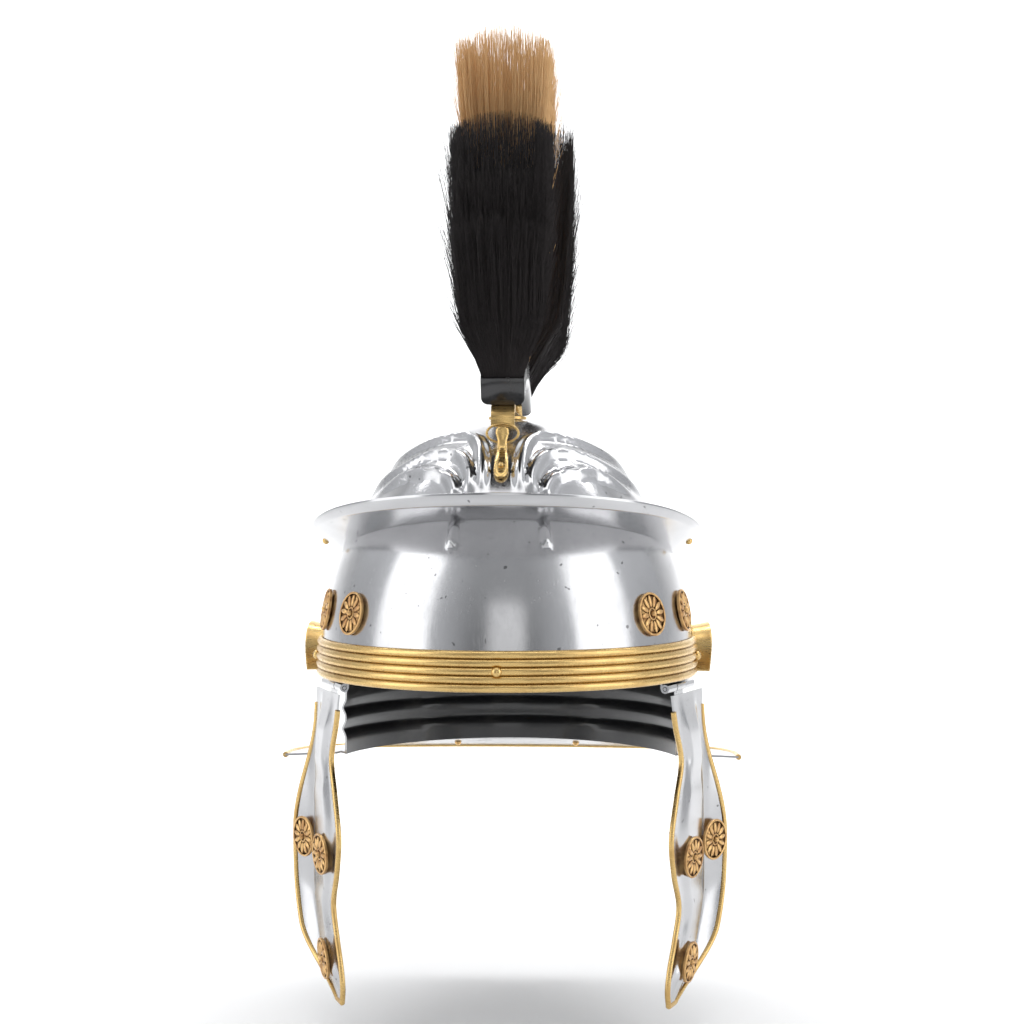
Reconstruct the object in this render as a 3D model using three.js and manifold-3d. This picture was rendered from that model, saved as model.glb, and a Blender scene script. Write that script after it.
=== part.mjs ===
// Steel helmet of the Roman Imperial Gallic type with a fore-and-aft hair crest.
// Millimetres, +Z up, the face looks along -Y, the origin is the inner apex of the bowl.

import * as THREE from 'three';
import { mergeVertices } from 'three/addons/utils/BufferGeometryUtils.js';
import Module from 'manifold-3d';

const wasm = await Module();
wasm.setup();

// Sheet thickness, and the gap between pieces that touch
const sheetThickness = 1.2;
const brassThickness = 0.8;
const gap = 0.35;

// Bowl: an ellipsoid dome over a short upright wall
const bowlHalfWidth = 105;
const bowlHalfLength = 120;
const domeHeight = 138;
const rimDrop = 5;
const columnsAround = 36;
const domeRows = 9;

// Nape wall behind the ears, its two ribs, and the neck guard that turns out of it
const napeDrop = 52;
const napeHalfAngle = 70;
const napeRibHeight = 2;
const neckHalfWidth = 135;
const neckFrontY = 45;
const neckRearY = 165;
const neckCornerDrop = 2;
const neckRearDrop = 11;
const neckRivetAngle = 16;

// Ear opening: an arch cut up from the rim
const earFrontY = 1;
const earRearY = 39;
const earHeight = 23;

// Ear guard: a brass arch over the ear opening
const earGuardBase = 5;
const earGuardReach = 13;
const earGuardFlare = 2;

// Embossed brows, three ridges on each side
const browWidth = 8;
const browHeight = 3;

// Visor: a crescent across the brow, seated on a plane that falls to the back
const visorHalfAngle = 88;
const visorSideLift = 67.8;
const visorSlope = 0.212;
const visorFrontWidth = 35;
const visorSideWidth = 15;
const visorFrontRise = 9.5;
const visorSideRise = 43;
const visorLip = 6;

// Brow band: ribbed brass round the lower edge of the bowl
const bandHalfAngle = 85;
const bandHeight = 21;
const bandRibs = 5;
const bandRibHeight = 1.3;

// Rosettes and rivets
const rosetteDiameter = 23.6;
const rosetteHeight = 2.2;
const rosettePetals = 12;
const bowlRosetteLift = 36.8;
const bowlRosetteAngles = { front: 50, side: 72 };
const rivetHeadDiameter = 5.2;
const rivetHeadHeight = 2;
const rivetShankDiameter = 3;

// Cheek guards and their hinges
const hingeInset = 7.47;
const hingeY = -22;
const hingeBelowRim = 5.9;
const hingeTurn = 22.3;
const hingeLength = 43;
const hingePinDiameter = 2;
const hingeBarrelWall = 1.2;
const leafHeight = 20;
const cheekLength = 175;
const cheekWidth = 66;
const cheekBow = 2.4;
const cheekTopOut = 0.6;
const cheekTipIn = 0.5;
const cheekFlange = 9;
const cheekEmboss = 2.5;
const cheekRows = 16;

// Brass edging, a channel folded over an edge
const edgingLeg = 1.3;
const edgingClearance = 0.6;
const edgingThickness = 0.6;

// Crest holder: a channel bent along an arc over the dome
const holderArcRadius = 110;
const holderHalfAngle = 31;
const holderCentreY = 3;
const holderLift = 21;
const holderWidth = 23.7;
const holderHeight = 16;
const holderWall = 1.6;
const holderCorner = 4;

// Crest fittings
const postFootDiameter = 22;
const postDiameter = 9;
const strapWidth = 12.9;
const ringDiameter = 18.4;
const ringWire = 1.4;

// Crest hair
const hairHalfWidth = 24;
const hairLockReach = 6;
const hairLockLength = 26;
const hairSwayRun = 30;
const hairMiddleRadius = 306;
const hairFrontRadius = 260;
const hairRearRadius = 282;
const hairMiddleHalfAngle = 11;
const rearHairLean = 10;

const degrees = THREE.MathUtils.degToRad;
const semiAxes = new THREE.Vector3(bowlHalfWidth, bowlHalfLength, domeHeight);
const domeCentreZ = sheetThickness - domeHeight;
const rimZ = domeCentreZ - rimDrop;
const napeZ = rimZ - napeDrop;
const visorSideZ = rimZ + visorSideLift;
const bowlRosetteZ = rimZ + bowlRosetteLift;
const hingeX = bowlHalfWidth * Math.sqrt(1 - (hingeY / bowlHalfLength) ** 2) - hingeInset;
const hingeZ = rimZ - hingeBelowRim;
const upward = new THREE.Vector3(0, 0, 1);

// Finishes

function finish(colour, roughness, metalness) {
  return new THREE.MeshStandardMaterial({ color: colour, roughness, metalness });
}

const steel = () => finish(0xc9ccd1, 0.22, 1);
const brass = () => finish(0xc79a45, 0.35, 1);
const agedBrass = () => finish(0xb98a4a, 0.45, 1);
const blackPaint = () => finish(0x0c0c0d, 0.2, 0);
const blackHair = () => finish(0x15110f, 0.6, 0);
const naturalHair = () => finish(0xcf9a5a, 0.6, 0);

// Closed bodies

function solidFromPoints(points, triangles) {
  const geometry = new THREE.BufferGeometry();
  geometry.setAttribute('position', new THREE.Float32BufferAttribute(points.flatMap((p) => [...p]), 3));
  geometry.setIndex(triangles.flat());
  return solidFromGeometry(geometry);
}

function enclosedVolume(positions, triangles) {
  const corner = (i) => new THREE.Vector3().fromArray(positions, 3 * i);
  return triangles.reduce((sum, [a, b, c]) => sum + corner(a).dot(corner(b).cross(corner(c))) / 6, 0);
}

// Joins shared corners, drops folded triangles and turns the faces outward
function solidFromGeometry(geometry) {
  const bare = geometry.clone();
  bare.deleteAttribute('normal');
  bare.deleteAttribute('uv');
  const merged = mergeVertices(bare, 1e-4);
  const index = merged.index.array;
  const positions = merged.attributes.position.array;
  const triangles = [];
  for (let i = 0; i < index.length; i += 3) {
    const [a, b, c] = index.slice(i, i + 3);
    if (a !== b && b !== c && c !== a) triangles.push([a, b, c]);
  }
  const inward = enclosedVolume(positions, triangles) < 0;
  const mesh = new wasm.Mesh({
    numProp: 3,
    vertProperties: new Float32Array(positions),
    triVerts: new Uint32Array(triangles.flatMap(([a, b, c]) => (inward ? [a, c, b] : [a, b, c]))),
  });
  return new wasm.Manifold(mesh);
}

function geometryFromSolid(solid) {
  const { vertProperties, triVerts } = solid.getMesh();
  const geometry = new THREE.BufferGeometry();
  geometry.setAttribute('position', new THREE.BufferAttribute(vertProperties, 3));
  geometry.setIndex(new THREE.BufferAttribute(triVerts, 1));
  return geometry;
}

function mirroredSolid(solid) {
  const geometry = geometryFromSolid(solid);
  geometry.scale(-1, 1, 1);
  return solidFromGeometry(geometry);
}

function piece(name, solid, material) {
  const mesh = new THREE.Mesh(geometryFromSolid(solid), material);
  mesh.name = name;
  return mesh;
}

function joined(solids) {
  return solids.reduce((whole, next) => whole.add(next));
}

// A body through rings of points, with flat ends, or closed on itself
function loft(rings, closed = false) {
  const count = rings[0].length;
  const spans = closed ? rings.length : rings.length - 1;
  const triangles = [];
  for (let k = 0; k < spans; k += 1) {
    const here = k * count;
    const there = ((k + 1) % rings.length) * count;
    for (let i = 0; i < count; i += 1) {
      const next = (i + 1) % count;
      triangles.push([here + i, here + next, there + next], [here + i, there + next, there + i]);
    }
  }
  if (!closed) {
    const corners = rings.map((ring) => flatOutline(ring));
    const last = (rings.length - 1) * count;
    for (const [a, b, c] of THREE.ShapeUtils.triangulateShape(corners[0], [])) {
      triangles.push([c, b, a]);
    }
    for (const [a, b, c] of THREE.ShapeUtils.triangulateShape(corners.at(-1), [])) {
      triangles.push([last + a, last + b, last + c]);
    }
  }
  return solidFromPoints(rings.flat(), triangles);
}

// A ring's corners in its own plane, counterclockwise round its own normal
function flatOutline(ring) {
  const centre = ring.reduce((sum, p) => sum.add(p), new THREE.Vector3()).divideScalar(ring.length);
  const normal = new THREE.Vector3();
  ring.forEach((p, i) => {
    const next = ring[(i + 1) % ring.length];
    normal.add(p.clone().sub(centre).cross(next.clone().sub(centre)));
  });
  const across = ring[0].clone().sub(centre).normalize();
  const along = new THREE.Vector3().crossVectors(normal.normalize(), across);
  return ring.map((p) => {
    const offset = p.clone().sub(centre);
    return new THREE.Vector2(offset.dot(across), offset.dot(along));
  });
}

// A sheet with its outer face on a grid of points: grid[column][row]
function sheet(grid, thickness, { closed = false, present = () => true } = {}) {
  const columns = grid.length;
  const rows = grid[0].length;
  const spans = closed ? columns : columns - 1;
  const cells = [];
  for (let i = 0; i < spans; i += 1) {
    for (let j = 0; j < rows - 1; j += 1) {
      if (present(i, j)) cells.push([i, (i + 1) % columns, j]);
    }
  }
  const normals = grid.map((column) => column.map(() => new THREE.Vector3()));
  for (const [i, next, j] of cells) {
    const corners = [[i, j], [i, j + 1], [next, j + 1], [next, j]];
    const across = grid[next][j + 1].clone().sub(grid[i][j]);
    const along = grid[i][j + 1].clone().sub(grid[next][j]);
    const normal = along.cross(across).normalize();
    corners.forEach(([column, row]) => normals[column][row].add(normal));
  }
  if (closed) {
    const pole = normals.reduce((sum, column) => sum.add(column[0]), new THREE.Vector3());
    normals.forEach((column) => column[0].copy(pole));
  }
  const outer = grid.flat();
  const inner = grid.flatMap((column, i) => column.map((point, j) => {
    return point.clone().addScaledVector(normals[i][j].normalize(), -thickness);
  }));
  const at = (i, j) => i * rows + j;
  const back = outer.length;
  const triangles = [];
  const edges = new Map();
  const noteEdge = (a, b) => {
    if (edges.has(`${b},${a}`)) edges.delete(`${b},${a}`);
    else edges.set(`${a},${b}`, [a, b]);
  };
  for (const [i, next, j] of cells) {
    const [a, b, c, d] = [at(i, j), at(i, j + 1), at(next, j + 1), at(next, j)];
    triangles.push([a, b, c], [a, c, d], [back + a, back + c, back + b], [back + a, back + d, back + c]);
    [[a, b], [b, c], [c, d], [d, a]].forEach(([from, to]) => noteEdge(from, to));
  }
  for (const [a, b] of edges.values()) {
    const folded = outer[a].distanceTo(outer[b]) < 1e-6;
    if (!folded) triangles.push([b, a, back + a], [b, back + a, back + b]);
  }
  return solidFromPoints([...outer, ...inner], triangles);
}

// Points on the bowl

function domePoint(azimuth, polar, out = 0) {
  const direction = new THREE.Vector3(
    Math.sin(polar) * Math.sin(azimuth),
    -Math.sin(polar) * Math.cos(azimuth),
    Math.cos(polar),
  );
  const normal = direction.clone().divide(semiAxes).normalize();
  return direction.multiply(semiAxes).addScaledVector(normal, out).addScaledVector(upward, domeCentreZ);
}

function domeNormal(azimuth, polar) {
  return domePoint(azimuth, polar, 1).sub(domePoint(azimuth, polar, 0)).normalize();
}

function wallPoint(azimuth, z, out = 0) {
  const polar = z > domeCentreZ ? Math.acos((z - domeCentreZ) / domeHeight) : Math.PI / 2;
  return domePoint(azimuth, polar, out).setZ(z);
}

function sideX(y, z) {
  const height = Math.max(0, z - domeCentreZ) / domeHeight;
  return bowlHalfWidth * Math.sqrt(1 - (y / bowlHalfLength) ** 2 - height ** 2);
}

// Bowl with its nape wall and neck guard

const napeRows = [
  { share: 0.2, rib: 0 },
  { share: 0.38, rib: 0 },
  { share: 0.5, rib: 1 },
  { share: 0.62, rib: 0 },
  { share: 0.74, rib: 1 },
  { share: 0.86, rib: 0 },
  { share: 1, rib: 0 },
];
const neckRows = [0.15, 0.55, 1];

// Edge of the neck guard, where turn runs from -1 at the left corner to 1 at the right corner
function neckEdge(turn) {
  const rearward = Math.cos(degrees(90) * turn);
  return new THREE.Vector3(
    neckHalfWidth * Math.sin(degrees(90) * turn),
    neckFrontY + (neckRearY - neckFrontY) * rearward ** 0.75,
    napeZ - neckCornerDrop - (neckRearDrop - neckCornerDrop) * rearward,
  );
}

function bowlColumn(azimuth) {
  const column = [];
  for (let k = 0; k <= domeRows; k += 1) {
    column.push(domePoint(azimuth, degrees(90) * (k / domeRows)));
  }
  column.push(wallPoint(azimuth, rimZ));
  for (const { share, rib } of napeRows) {
    column.push(wallPoint(azimuth, rimZ - napeDrop * share, napeRibHeight * rib));
  }
  const turn = THREE.MathUtils.clamp((Math.PI - azimuth) / degrees(napeHalfAngle), -1, 1);
  const root = wallPoint(azimuth, napeZ);
  for (const share of neckRows) {
    column.push(root.clone().lerp(neckEdge(turn), share));
  }
  return column;
}

function earCut() {
  const halfWidth = (earRearY - earFrontY) / 2;
  const middle = (earRearY + earFrontY) / 2;
  const below = rimZ - rimDrop;
  const arch = new THREE.Shape();
  arch.moveTo(earFrontY, below);
  arch.lineTo(earRearY, below);
  arch.lineTo(earRearY, rimZ);
  arch.absellipse(middle, rimZ, halfWidth, earHeight, 0, Math.PI, false);
  arch.lineTo(earFrontY, below);
  const geometry = new THREE.ExtrudeGeometry(arch, {
    depth: 4 * bowlHalfWidth,
    bevelEnabled: false,
    curveSegments: 10,
  });
  geometry.translate(0, 0, -2 * bowlHalfWidth);
  const axes = new THREE.Matrix4().makeBasis(
    new THREE.Vector3(0, 1, 0),
    new THREE.Vector3(0, 0, 1),
    new THREE.Vector3(1, 0, 0),
  );
  geometry.applyMatrix4(axes);
  return solidFromGeometry(geometry);
}

// Courses of the brow ridges over the dome, in degrees from the face and from the apex
const browCourses = {
  outer: [[8, 49], [9, 38], [15, 28], [28, 23.5], [55, 26.5], [77, 33], [92, 39], [100, 44]],
  middle: [[12.5, 49], [14, 40], [24, 33], [44, 33], [60, 38.5], [75, 43.5], [86, 48]],
  inner: [[17, 49], [19, 45], [24, 41.5], [33, 40], [47, 40], [60, 44], [72, 48.5]],
  spur: [[15.5, 56.5], [15.5, 58], [15.5, 59.5]],
};

function browRidge(course, steps) {
  const spline = new THREE.SplineCurve(course.map(([azimuth, polar]) => new THREE.Vector2(azimuth, polar)));
  const places = spline.getPoints(steps).map(({ x, y }) => ({ azimuth: degrees(x), polar: degrees(y) }));
  const centres = places.map(({ azimuth, polar }) => domePoint(azimuth, polar));
  const rings = places.map(({ azimuth, polar }, k) => {
    const ahead = centres[Math.min(k + 1, steps)];
    const behind = centres[Math.max(k - 1, 0)];
    const normal = domeNormal(azimuth, polar);
    const side = normal.clone().cross(ahead.clone().sub(behind)).normalize();
    const fade = Math.min(1, 0.35 + Math.min(k, steps - k) * 0.35);
    const corner = (across, out) => centres[k].clone()
      .addScaledVector(side, across * browWidth * fade)
      .addScaledVector(normal, out);
    const sunk = -0.7 * sheetThickness;
    return [
      corner(-0.5, sunk),
      corner(-0.15, browHeight * fade),
      corner(0.15, browHeight * fade),
      corner(0.5, sunk),
    ];
  });
  return loft(rings);
}

function bowl() {
  const grid = [];
  for (let i = 0; i < columnsAround; i += 1) {
    grid.push(bowlColumn(2 * Math.PI * (i / columnsAround)));
  }
  const firstNape = Math.round((columnsAround * (180 - napeHalfAngle)) / 360);
  const present = (i, j) => j <= domeRows || (i >= firstNape && i < columnsAround - firstNape);
  const shell = sheet(grid, sheetThickness, { closed: true, present }).subtract(earCut());
  const ridges = Object.entries(browCourses).map(([name, course]) => {
    return browRidge(course, name === 'spur' ? 2 : 9);
  });
  return joined([shell, ...ridges, ...ridges.map(mirroredSolid)]);
}

// Brass edging folded over a sheet's edge: one ring of the channel for each place on the edge
function edging(places) {
  const inside = edgingClearance;
  const outside = edgingClearance + edgingThickness;
  const corners = [
    [-edgingLeg, inside],
    [-edgingLeg, outside],
    [outside, outside],
    [outside, -sheetThickness - outside],
    [-edgingLeg, -sheetThickness - outside],
    [-edgingLeg, -sheetThickness - inside],
    [inside, -sheetThickness - inside],
    [inside, inside],
  ];
  return loft(places.map(({ point, out, normal }) => corners.map(([across, above]) => {
    return point.clone().addScaledVector(out, across).addScaledVector(normal, above);
  })));
}

// Place on a sheet's edge from the edge points before and after it and the point just inside
function edgePlace(point, before, after, inside, up) {
  const along = after.clone().sub(before).normalize();
  const out = point.clone().sub(inside);
  out.addScaledVector(along, -out.dot(along)).normalize();
  const normal = along.clone().cross(out).normalize();
  if (normal.dot(up) < 0) normal.negate();
  return { point, out, normal };
}

function neckGuardTrim() {
  const firstNape = Math.round((columnsAround * (180 - napeHalfAngle)) / 360);
  const columns = [];
  for (let i = firstNape; i <= columnsAround - firstNape; i += 1) {
    columns.push(bowlColumn(2 * Math.PI * (i / columnsAround)));
  }
  const places = columns.map((column, k) => {
    const before = columns[Math.max(k - 1, 0)].at(-1);
    const after = columns[Math.min(k + 1, columns.length - 1)].at(-1);
    return edgePlace(column.at(-1), before, after, column.at(-2), upward);
  });
  return edging(places);
}

// Visor

function visorSeat(azimuth, rise) {
  let low = 0;
  let high = Math.PI / 2;
  for (let step = 0; step < 40; step += 1) {
    const middle = (low + high) / 2;
    const { y, z } = domePoint(azimuth, middle);
    if (z > visorSideZ - visorSlope * y) low = middle;
    else high = middle;
  }
  return domePoint(azimuth, high, gap + sheetThickness * Math.sin(rise));
}

function visorShape(azimuth) {
  const frontness = Math.cos(azimuth);
  return {
    width: THREE.MathUtils.lerp(visorSideWidth, visorFrontWidth, frontness ** 2),
    rise: degrees(THREE.MathUtils.lerp(visorSideRise, visorFrontRise, frontness ** 0.5)),
    lip: visorLip * (0.25 + 0.75 * frontness),
  };
}

function visor() {
  const grid = [];
  const columns = 28;
  for (let i = 0; i <= columns; i += 1) {
    const azimuth = degrees(visorHalfAngle) * ((2 * i) / columns - 1);
    const { width, rise, lip } = visorShape(azimuth);
    const outward = new THREE.Vector3(Math.sin(azimuth), -Math.cos(azimuth), 0);
    const seat = visorSeat(azimuth, rise);
    const at = (reach, lift) => seat.clone()
      .addScaledVector(outward, reach)
      .addScaledVector(upward, lift);
    grid.push([
      at(width + 0.3 * lip, width * Math.tan(rise) + lip),
      at(width, width * Math.tan(rise)),
      at(0.5 * width, 0.5 * width * Math.tan(rise)),
      at(0, 0),
    ]);
  }
  return sheet(grid, -sheetThickness);
}

// Brow band: ribs on the outside, smooth against the bowl
function browBand() {
  const top = rimZ + bandHeight;
  const rings = [];
  const columns = 24;
  for (let i = 0; i <= columns; i += 1) {
    const azimuth = degrees(bandHalfAngle) * ((2 * i) / columns - 1);
    const ring = [wallPoint(azimuth, rimZ, 2 * gap), wallPoint(azimuth, top, 2 * gap)];
    for (let k = 0; k <= 2 * bandRibs; k += 1) {
      const out = 2 * gap + brassThickness + bandRibHeight * (k % 2);
      ring.push(wallPoint(azimuth, top - bandHeight * (k / (2 * bandRibs)), out));
    }
    rings.push(ring);
  }
  return loft(rings);
}

// Right ear guard: a base against the bowl and a lip that stands out round the arch
function earGuard() {
  const middle = (earRearY + earFrontY) / 2;
  const halfWidth = (earRearY - earFrontY) / 2;
  const steps = 14;
  const grid = [];
  for (let i = 0; i <= steps; i += 1) {
    const angle = Math.PI * (i / steps);
    const at = (beyond, out) => {
      const y = middle + (halfWidth + beyond) * Math.cos(angle);
      const z = rimZ + 0.5 + (earHeight + beyond) * Math.sin(angle);
      return new THREE.Vector3(sideX(y, z) + out, y, z);
    };
    const lipOut = earGuardReach * (0.75 + 0.25 * Math.sin(angle));
    grid.push([
      at(brassThickness + earGuardBase, 2 * gap),
      at(brassThickness, 2 * gap),
      at(brassThickness + earGuardFlare, lipOut),
    ]);
  }
  return sheet(grid, brassThickness);
}

// Rosette and rivet, built on their own axis +Z with the seat at z = 0

function rosette() {
  const spokes = 2 * rosettePetals;
  const radius = rosetteDiameter / 2;
  const hole = rivetShankDiameter / 2 + gap;
  const section = [
    { reach: hole, base: 0, petal: 0 },
    { reach: radius, base: 0, petal: 0 },
    { reach: radius * 0.6, base: 0.45 * rosetteHeight, petal: 0.55 * rosetteHeight },
    { reach: hole * 1.05, base: 0.4 * rosetteHeight, petal: 0 },
  ];
  const rings = [];
  for (let i = 0; i < spokes; i += 1) {
    const angle = 2 * Math.PI * (i / spokes);
    rings.push(section.map(({ reach, base, petal }) => new THREE.Vector3(
      reach * Math.cos(angle),
      reach * Math.sin(angle),
      base + petal * (i % 2),
    )));
  }
  return loft(rings, true);
}

function turned(profile, sides) {
  const geometry = new THREE.LatheGeometry(profile.map(([x, z]) => new THREE.Vector2(x, z)), sides);
  geometry.rotateX(Math.PI / 2);
  return solidFromGeometry(geometry);
}

// A rivet whose head rests a gap above a face at the given height
function rivet(faceHeight) {
  const head = rivetHeadDiameter / 2;
  const shank = rivetShankDiameter / 2;
  const seat = faceHeight + gap;
  return turned([
    [0, gap],
    [shank, gap],
    [shank, seat],
    [head, seat],
    [head * 0.8, seat + 0.6 * rivetHeadHeight],
    [0, seat + rivetHeadHeight],
  ], 8);
}

function placed(mesh, point, normal) {
  mesh.position.copy(point);
  mesh.quaternion.setFromUnitVectors(upward, normal);
  return mesh;
}

const sides = [
  { side: 'left', sign: -1 },
  { side: 'right', sign: 1 },
];

function onWall(azimuth, z, out) {
  const point = wallPoint(azimuth, z, out);
  const normal = wallPoint(azimuth, z, out + 1).sub(point).setZ(0).normalize();
  return { point, normal };
}

function bowlRosettes() {
  const pieces = [];
  for (const { side, sign } of sides) {
    for (const [row, angle] of Object.entries(bowlRosetteAngles)) {
      const azimuth = sign * degrees(angle);
      const polar = Math.acos((bowlRosetteZ - domeCentreZ) / domeHeight);
      const point = domePoint(azimuth, polar, gap);
      const normal = domeNormal(azimuth, polar);
      const name = `bowl_rosette_${side}_${row}`;
      pieces.push(placed(piece(name, rosette(), agedBrass()), point, normal));
      pieces.push(placed(piece(`${name}_rivet`, rivet(0.45 * rosetteHeight), agedBrass()), point, normal));
    }
  }
  return pieces;
}

function bandRivets() {
  const middleZ = rimZ + 0.5 * bandHeight;
  const face = 2 * gap + brassThickness + bandRibHeight;
  const places = [
    { side: 'centre', angle: 0 },
    { side: 'left', angle: -(bandHalfAngle - 3) },
    { side: 'right', angle: bandHalfAngle - 3 },
  ];
  return places.map(({ side, angle }) => {
    const { point, normal } = onWall(degrees(angle), middleZ, face);
    const head = turned([
      [0, gap],
      [rivetHeadDiameter / 2, gap],
      [0.4 * rivetHeadDiameter, gap + 0.6 * rivetHeadHeight],
      [0, gap + rivetHeadHeight],
    ], 10);
    return placed(piece(`band_rivet_${side}`, head, brass()), point, normal);
  });
}

// Two rivets under the neck guard, seen past the cheek guards from the front
function neckRivets() {
  const neckPoint = (azimuth, share) => {
    const turn = (Math.PI - azimuth) / degrees(napeHalfAngle);
    return wallPoint(azimuth, napeZ).lerp(neckEdge(turn), share);
  };
  return sides.map(({ side, sign }) => {
    const azimuth = Math.PI - sign * degrees(neckRivetAngle);
    const around = neckPoint(azimuth + 0.1, 0.5).sub(neckPoint(azimuth - 0.1, 0.5));
    const across = neckPoint(azimuth, 0.6).sub(neckPoint(azimuth, 0.4));
    const down = around.cross(across).normalize();
    if (down.z > 0) down.negate();
    const point = neckPoint(azimuth, 0.5).addScaledVector(down, sheetThickness + 2 * gap);
    const head = turned([
      [0, 0],
      [0.4 * rivetHeadDiameter, 0],
      [0.3 * rivetHeadDiameter, 0.6 * rivetHeadHeight],
      [0, rivetHeadHeight],
    ], 8);
    return placed(piece(`neck_rivet_${side}`, head, agedBrass()), point, down);
  });
}

function visorRivets() {
  return sides.map(({ side, sign }) => {
    const azimuth = sign * degrees(visorHalfAngle - 3);
    const { width, rise } = visorShape(azimuth);
    const seat = visorSeat(azimuth, rise);
    const outward = new THREE.Vector3(Math.sin(azimuth), -Math.cos(azimuth), 0);
    const along = outward.clone().multiplyScalar(Math.cos(rise)).addScaledVector(upward, Math.sin(rise));
    const down = outward.multiplyScalar(Math.sin(rise)).addScaledVector(upward, -Math.cos(rise));
    const point = seat.addScaledVector(along, (0.55 * width) / Math.cos(rise));
    point.addScaledVector(down, sheetThickness + 2 * gap);
    const head = turned([
      [0, 0],
      [0.4 * rivetHeadDiameter, 0],
      [0.3 * rivetHeadDiameter, 0.6 * rivetHeadHeight],
      [0, rivetHeadHeight],
    ], 8);
    return placed(piece(`visor_rivet_${side}`, head, brass()), point, down);
  });
}

// Cheek guards, each in its own frame: x outward, y rearward, z up, the hinge axis along y

// Edges of the plate: down as a share of its length, rear and front as shares of its width
const cheekOutline = [
  { down: 0.026, rear: 0.6, front: -0.17 },
  { down: 0.125, rear: 0.6, front: -0.1 },
  { down: 0.24, rear: 0.64, front: 0.02 },
  { down: 0.355, rear: 0.71, front: -0.12 },
  { down: 0.475, rear: 0.76, front: -0.24 },
  { down: 0.59, rear: 0.77, front: -0.165 },
  { down: 0.7, rear: 0.74, front: -0.02 },
  { down: 0.8, rear: 0.63, front: -0.1 },
  { down: 0.885, rear: 0.46, front: -0.2 },
  { down: 0.95, rear: 0.24, front: -0.23 },
  { down: 1, rear: -0.04, front: -0.19 },
];
// Sections across the plate: share from the rear edge, lift of the flange and of the embossing
const cheekSections = [
  { across: 0, flange: 1, emboss: 0 },
  { across: 0.16, flange: 0.15, emboss: 0 },
  { across: 0.26, flange: 0, emboss: 0 },
  { across: 0.34, flange: 0, emboss: 1 },
  { across: 0.72, flange: 0, emboss: 1 },
  { across: 0.84, flange: 0, emboss: 0 },
  { across: 1, flange: 0, emboss: 0 },
];

function cheekPoint(row, { across, flange, emboss }) {
  const path = new THREE.CatmullRomCurve3(cheekOutline.map(({ down, rear, front }) => {
    return new THREE.Vector3(down, rear, front);
  }));
  const { x: down, y: rear, z: front } = path.getPoint(row / cheekRows);
  const bow = down < 0.4
    ? cheekTopOut + (cheekBow - cheekTopOut) * Math.sin(Math.PI * down / 0.8)
    : THREE.MathUtils.lerp(cheekBow, -cheekTipIn, 1 - Math.cos((Math.PI / 2) * ((down - 0.4) / 0.6)));
  const flangeEnd = 1 - THREE.MathUtils.smoothstep(down, 0.8, 1);
  const flangeGrowth = THREE.MathUtils.smoothstep(down, 0.12, 0.5) * flangeEnd;
  const embossGrowth = Math.sin(Math.PI * Math.min(1, down * 1.05)) ** 0.5;
  return new THREE.Vector3(
    bow + cheekFlange * flange * flangeGrowth + cheekEmboss * emboss * embossGrowth,
    cheekWidth * THREE.MathUtils.lerp(rear, front, across),
    -cheekLength * down,
  );
}

function cheekGrid() {
  const grid = cheekSections.map((section) => {
    return Array.from({ length: cheekRows + 1 }, (_, row) => cheekPoint(row, section));
  });
  return grid;
}

const barrelRadius = hingePinDiameter / 2 + gap + hingeBarrelWall;
const barrelSides = 8;

function alongY(radius, from, to) {
  const geometry = new THREE.CylinderGeometry(radius, radius, to - from, barrelSides);
  geometry.translate(0, (from + to) / 2, 0);
  return solidFromGeometry(geometry);
}

function block(from, to) {
  const geometry = new THREE.BoxGeometry(to[0] - from[0], to[1] - from[1], to[2] - from[2]);
  geometry.translate((from[0] + to[0]) / 2, (from[1] + to[1]) / 2, (from[2] + to[2]) / 2);
  return solidFromGeometry(geometry);
}

const pinHole = () => alongY(hingePinDiameter / 2 + gap, -hingeLength, hingeLength);
const knuckle = hingeLength / 3;

function hingeLeaf() {
  const half = hingeLength / 2;
  const bottom = barrelRadius + 2 * gap;
  const leaf = block([-barrelRadius, -half, bottom], [-barrelRadius + sheetThickness, half, leafHeight]);
  const ends = [[-half, -knuckle / 2 - gap], [knuckle / 2 + gap, half]];
  const knuckles = ends.flatMap(([from, to]) => [
    alongY(barrelRadius, from, to),
    block([-barrelRadius, from, 0], [-barrelRadius + sheetThickness, to, bottom + gap]),
  ]);
  return joined([leaf, ...knuckles]).subtract(pinHole());
}

function cheekPlate() {
  const plate = sheet(cheekGrid(), -sheetThickness);
  const top = cheekPoint(0, cheekSections[4]);
  const from = -knuckle / 2;
  const to = knuckle / 2;
  const tongue = block([0, from, top.z - 2], [top.x - 0.3 * sheetThickness, to, 0]);
  return joined([plate, alongY(barrelRadius, from, to), tongue]).subtract(pinHole());
}

// Edging round the plate, from just below the hinge to the tip and up again
function cheekTrim() {
  const grid = cheekGrid();
  const columns = grid.length;
  const outward = new THREE.Vector3(1, 0, 0);
  const path = [];
  for (let row = 1; row <= cheekRows; row += 1) {
    path.push({ point: grid[0][row], inside: grid[1][row] });
  }
  const tipInside = grid[3][cheekRows - 1];
  path.at(-1).inside = tipInside;
  for (let row = cheekRows; row >= 1; row -= 1) {
    path.push({ point: grid[columns - 1][row], inside: grid[columns - 2][row] });
  }
  path[cheekRows].inside = tipInside;
  return edging(path.map(({ point, inside }, k) => {
    const before = path[Math.max(k - 1, 0)].point;
    const after = path[Math.min(k + 1, path.length - 1)].point;
    return edgePlace(point, before, after, inside, outward);
  }));
}

// Rosettes on the cheek guard: row down the plate and section across it
const cheekRosettes = [
  { place: 'rear', row: 7, section: 1 },
  { place: 'middle', row: 7.4, section: 3.9 },
  { place: 'lower', row: 12.8, section: 3.4 },
];

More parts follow.
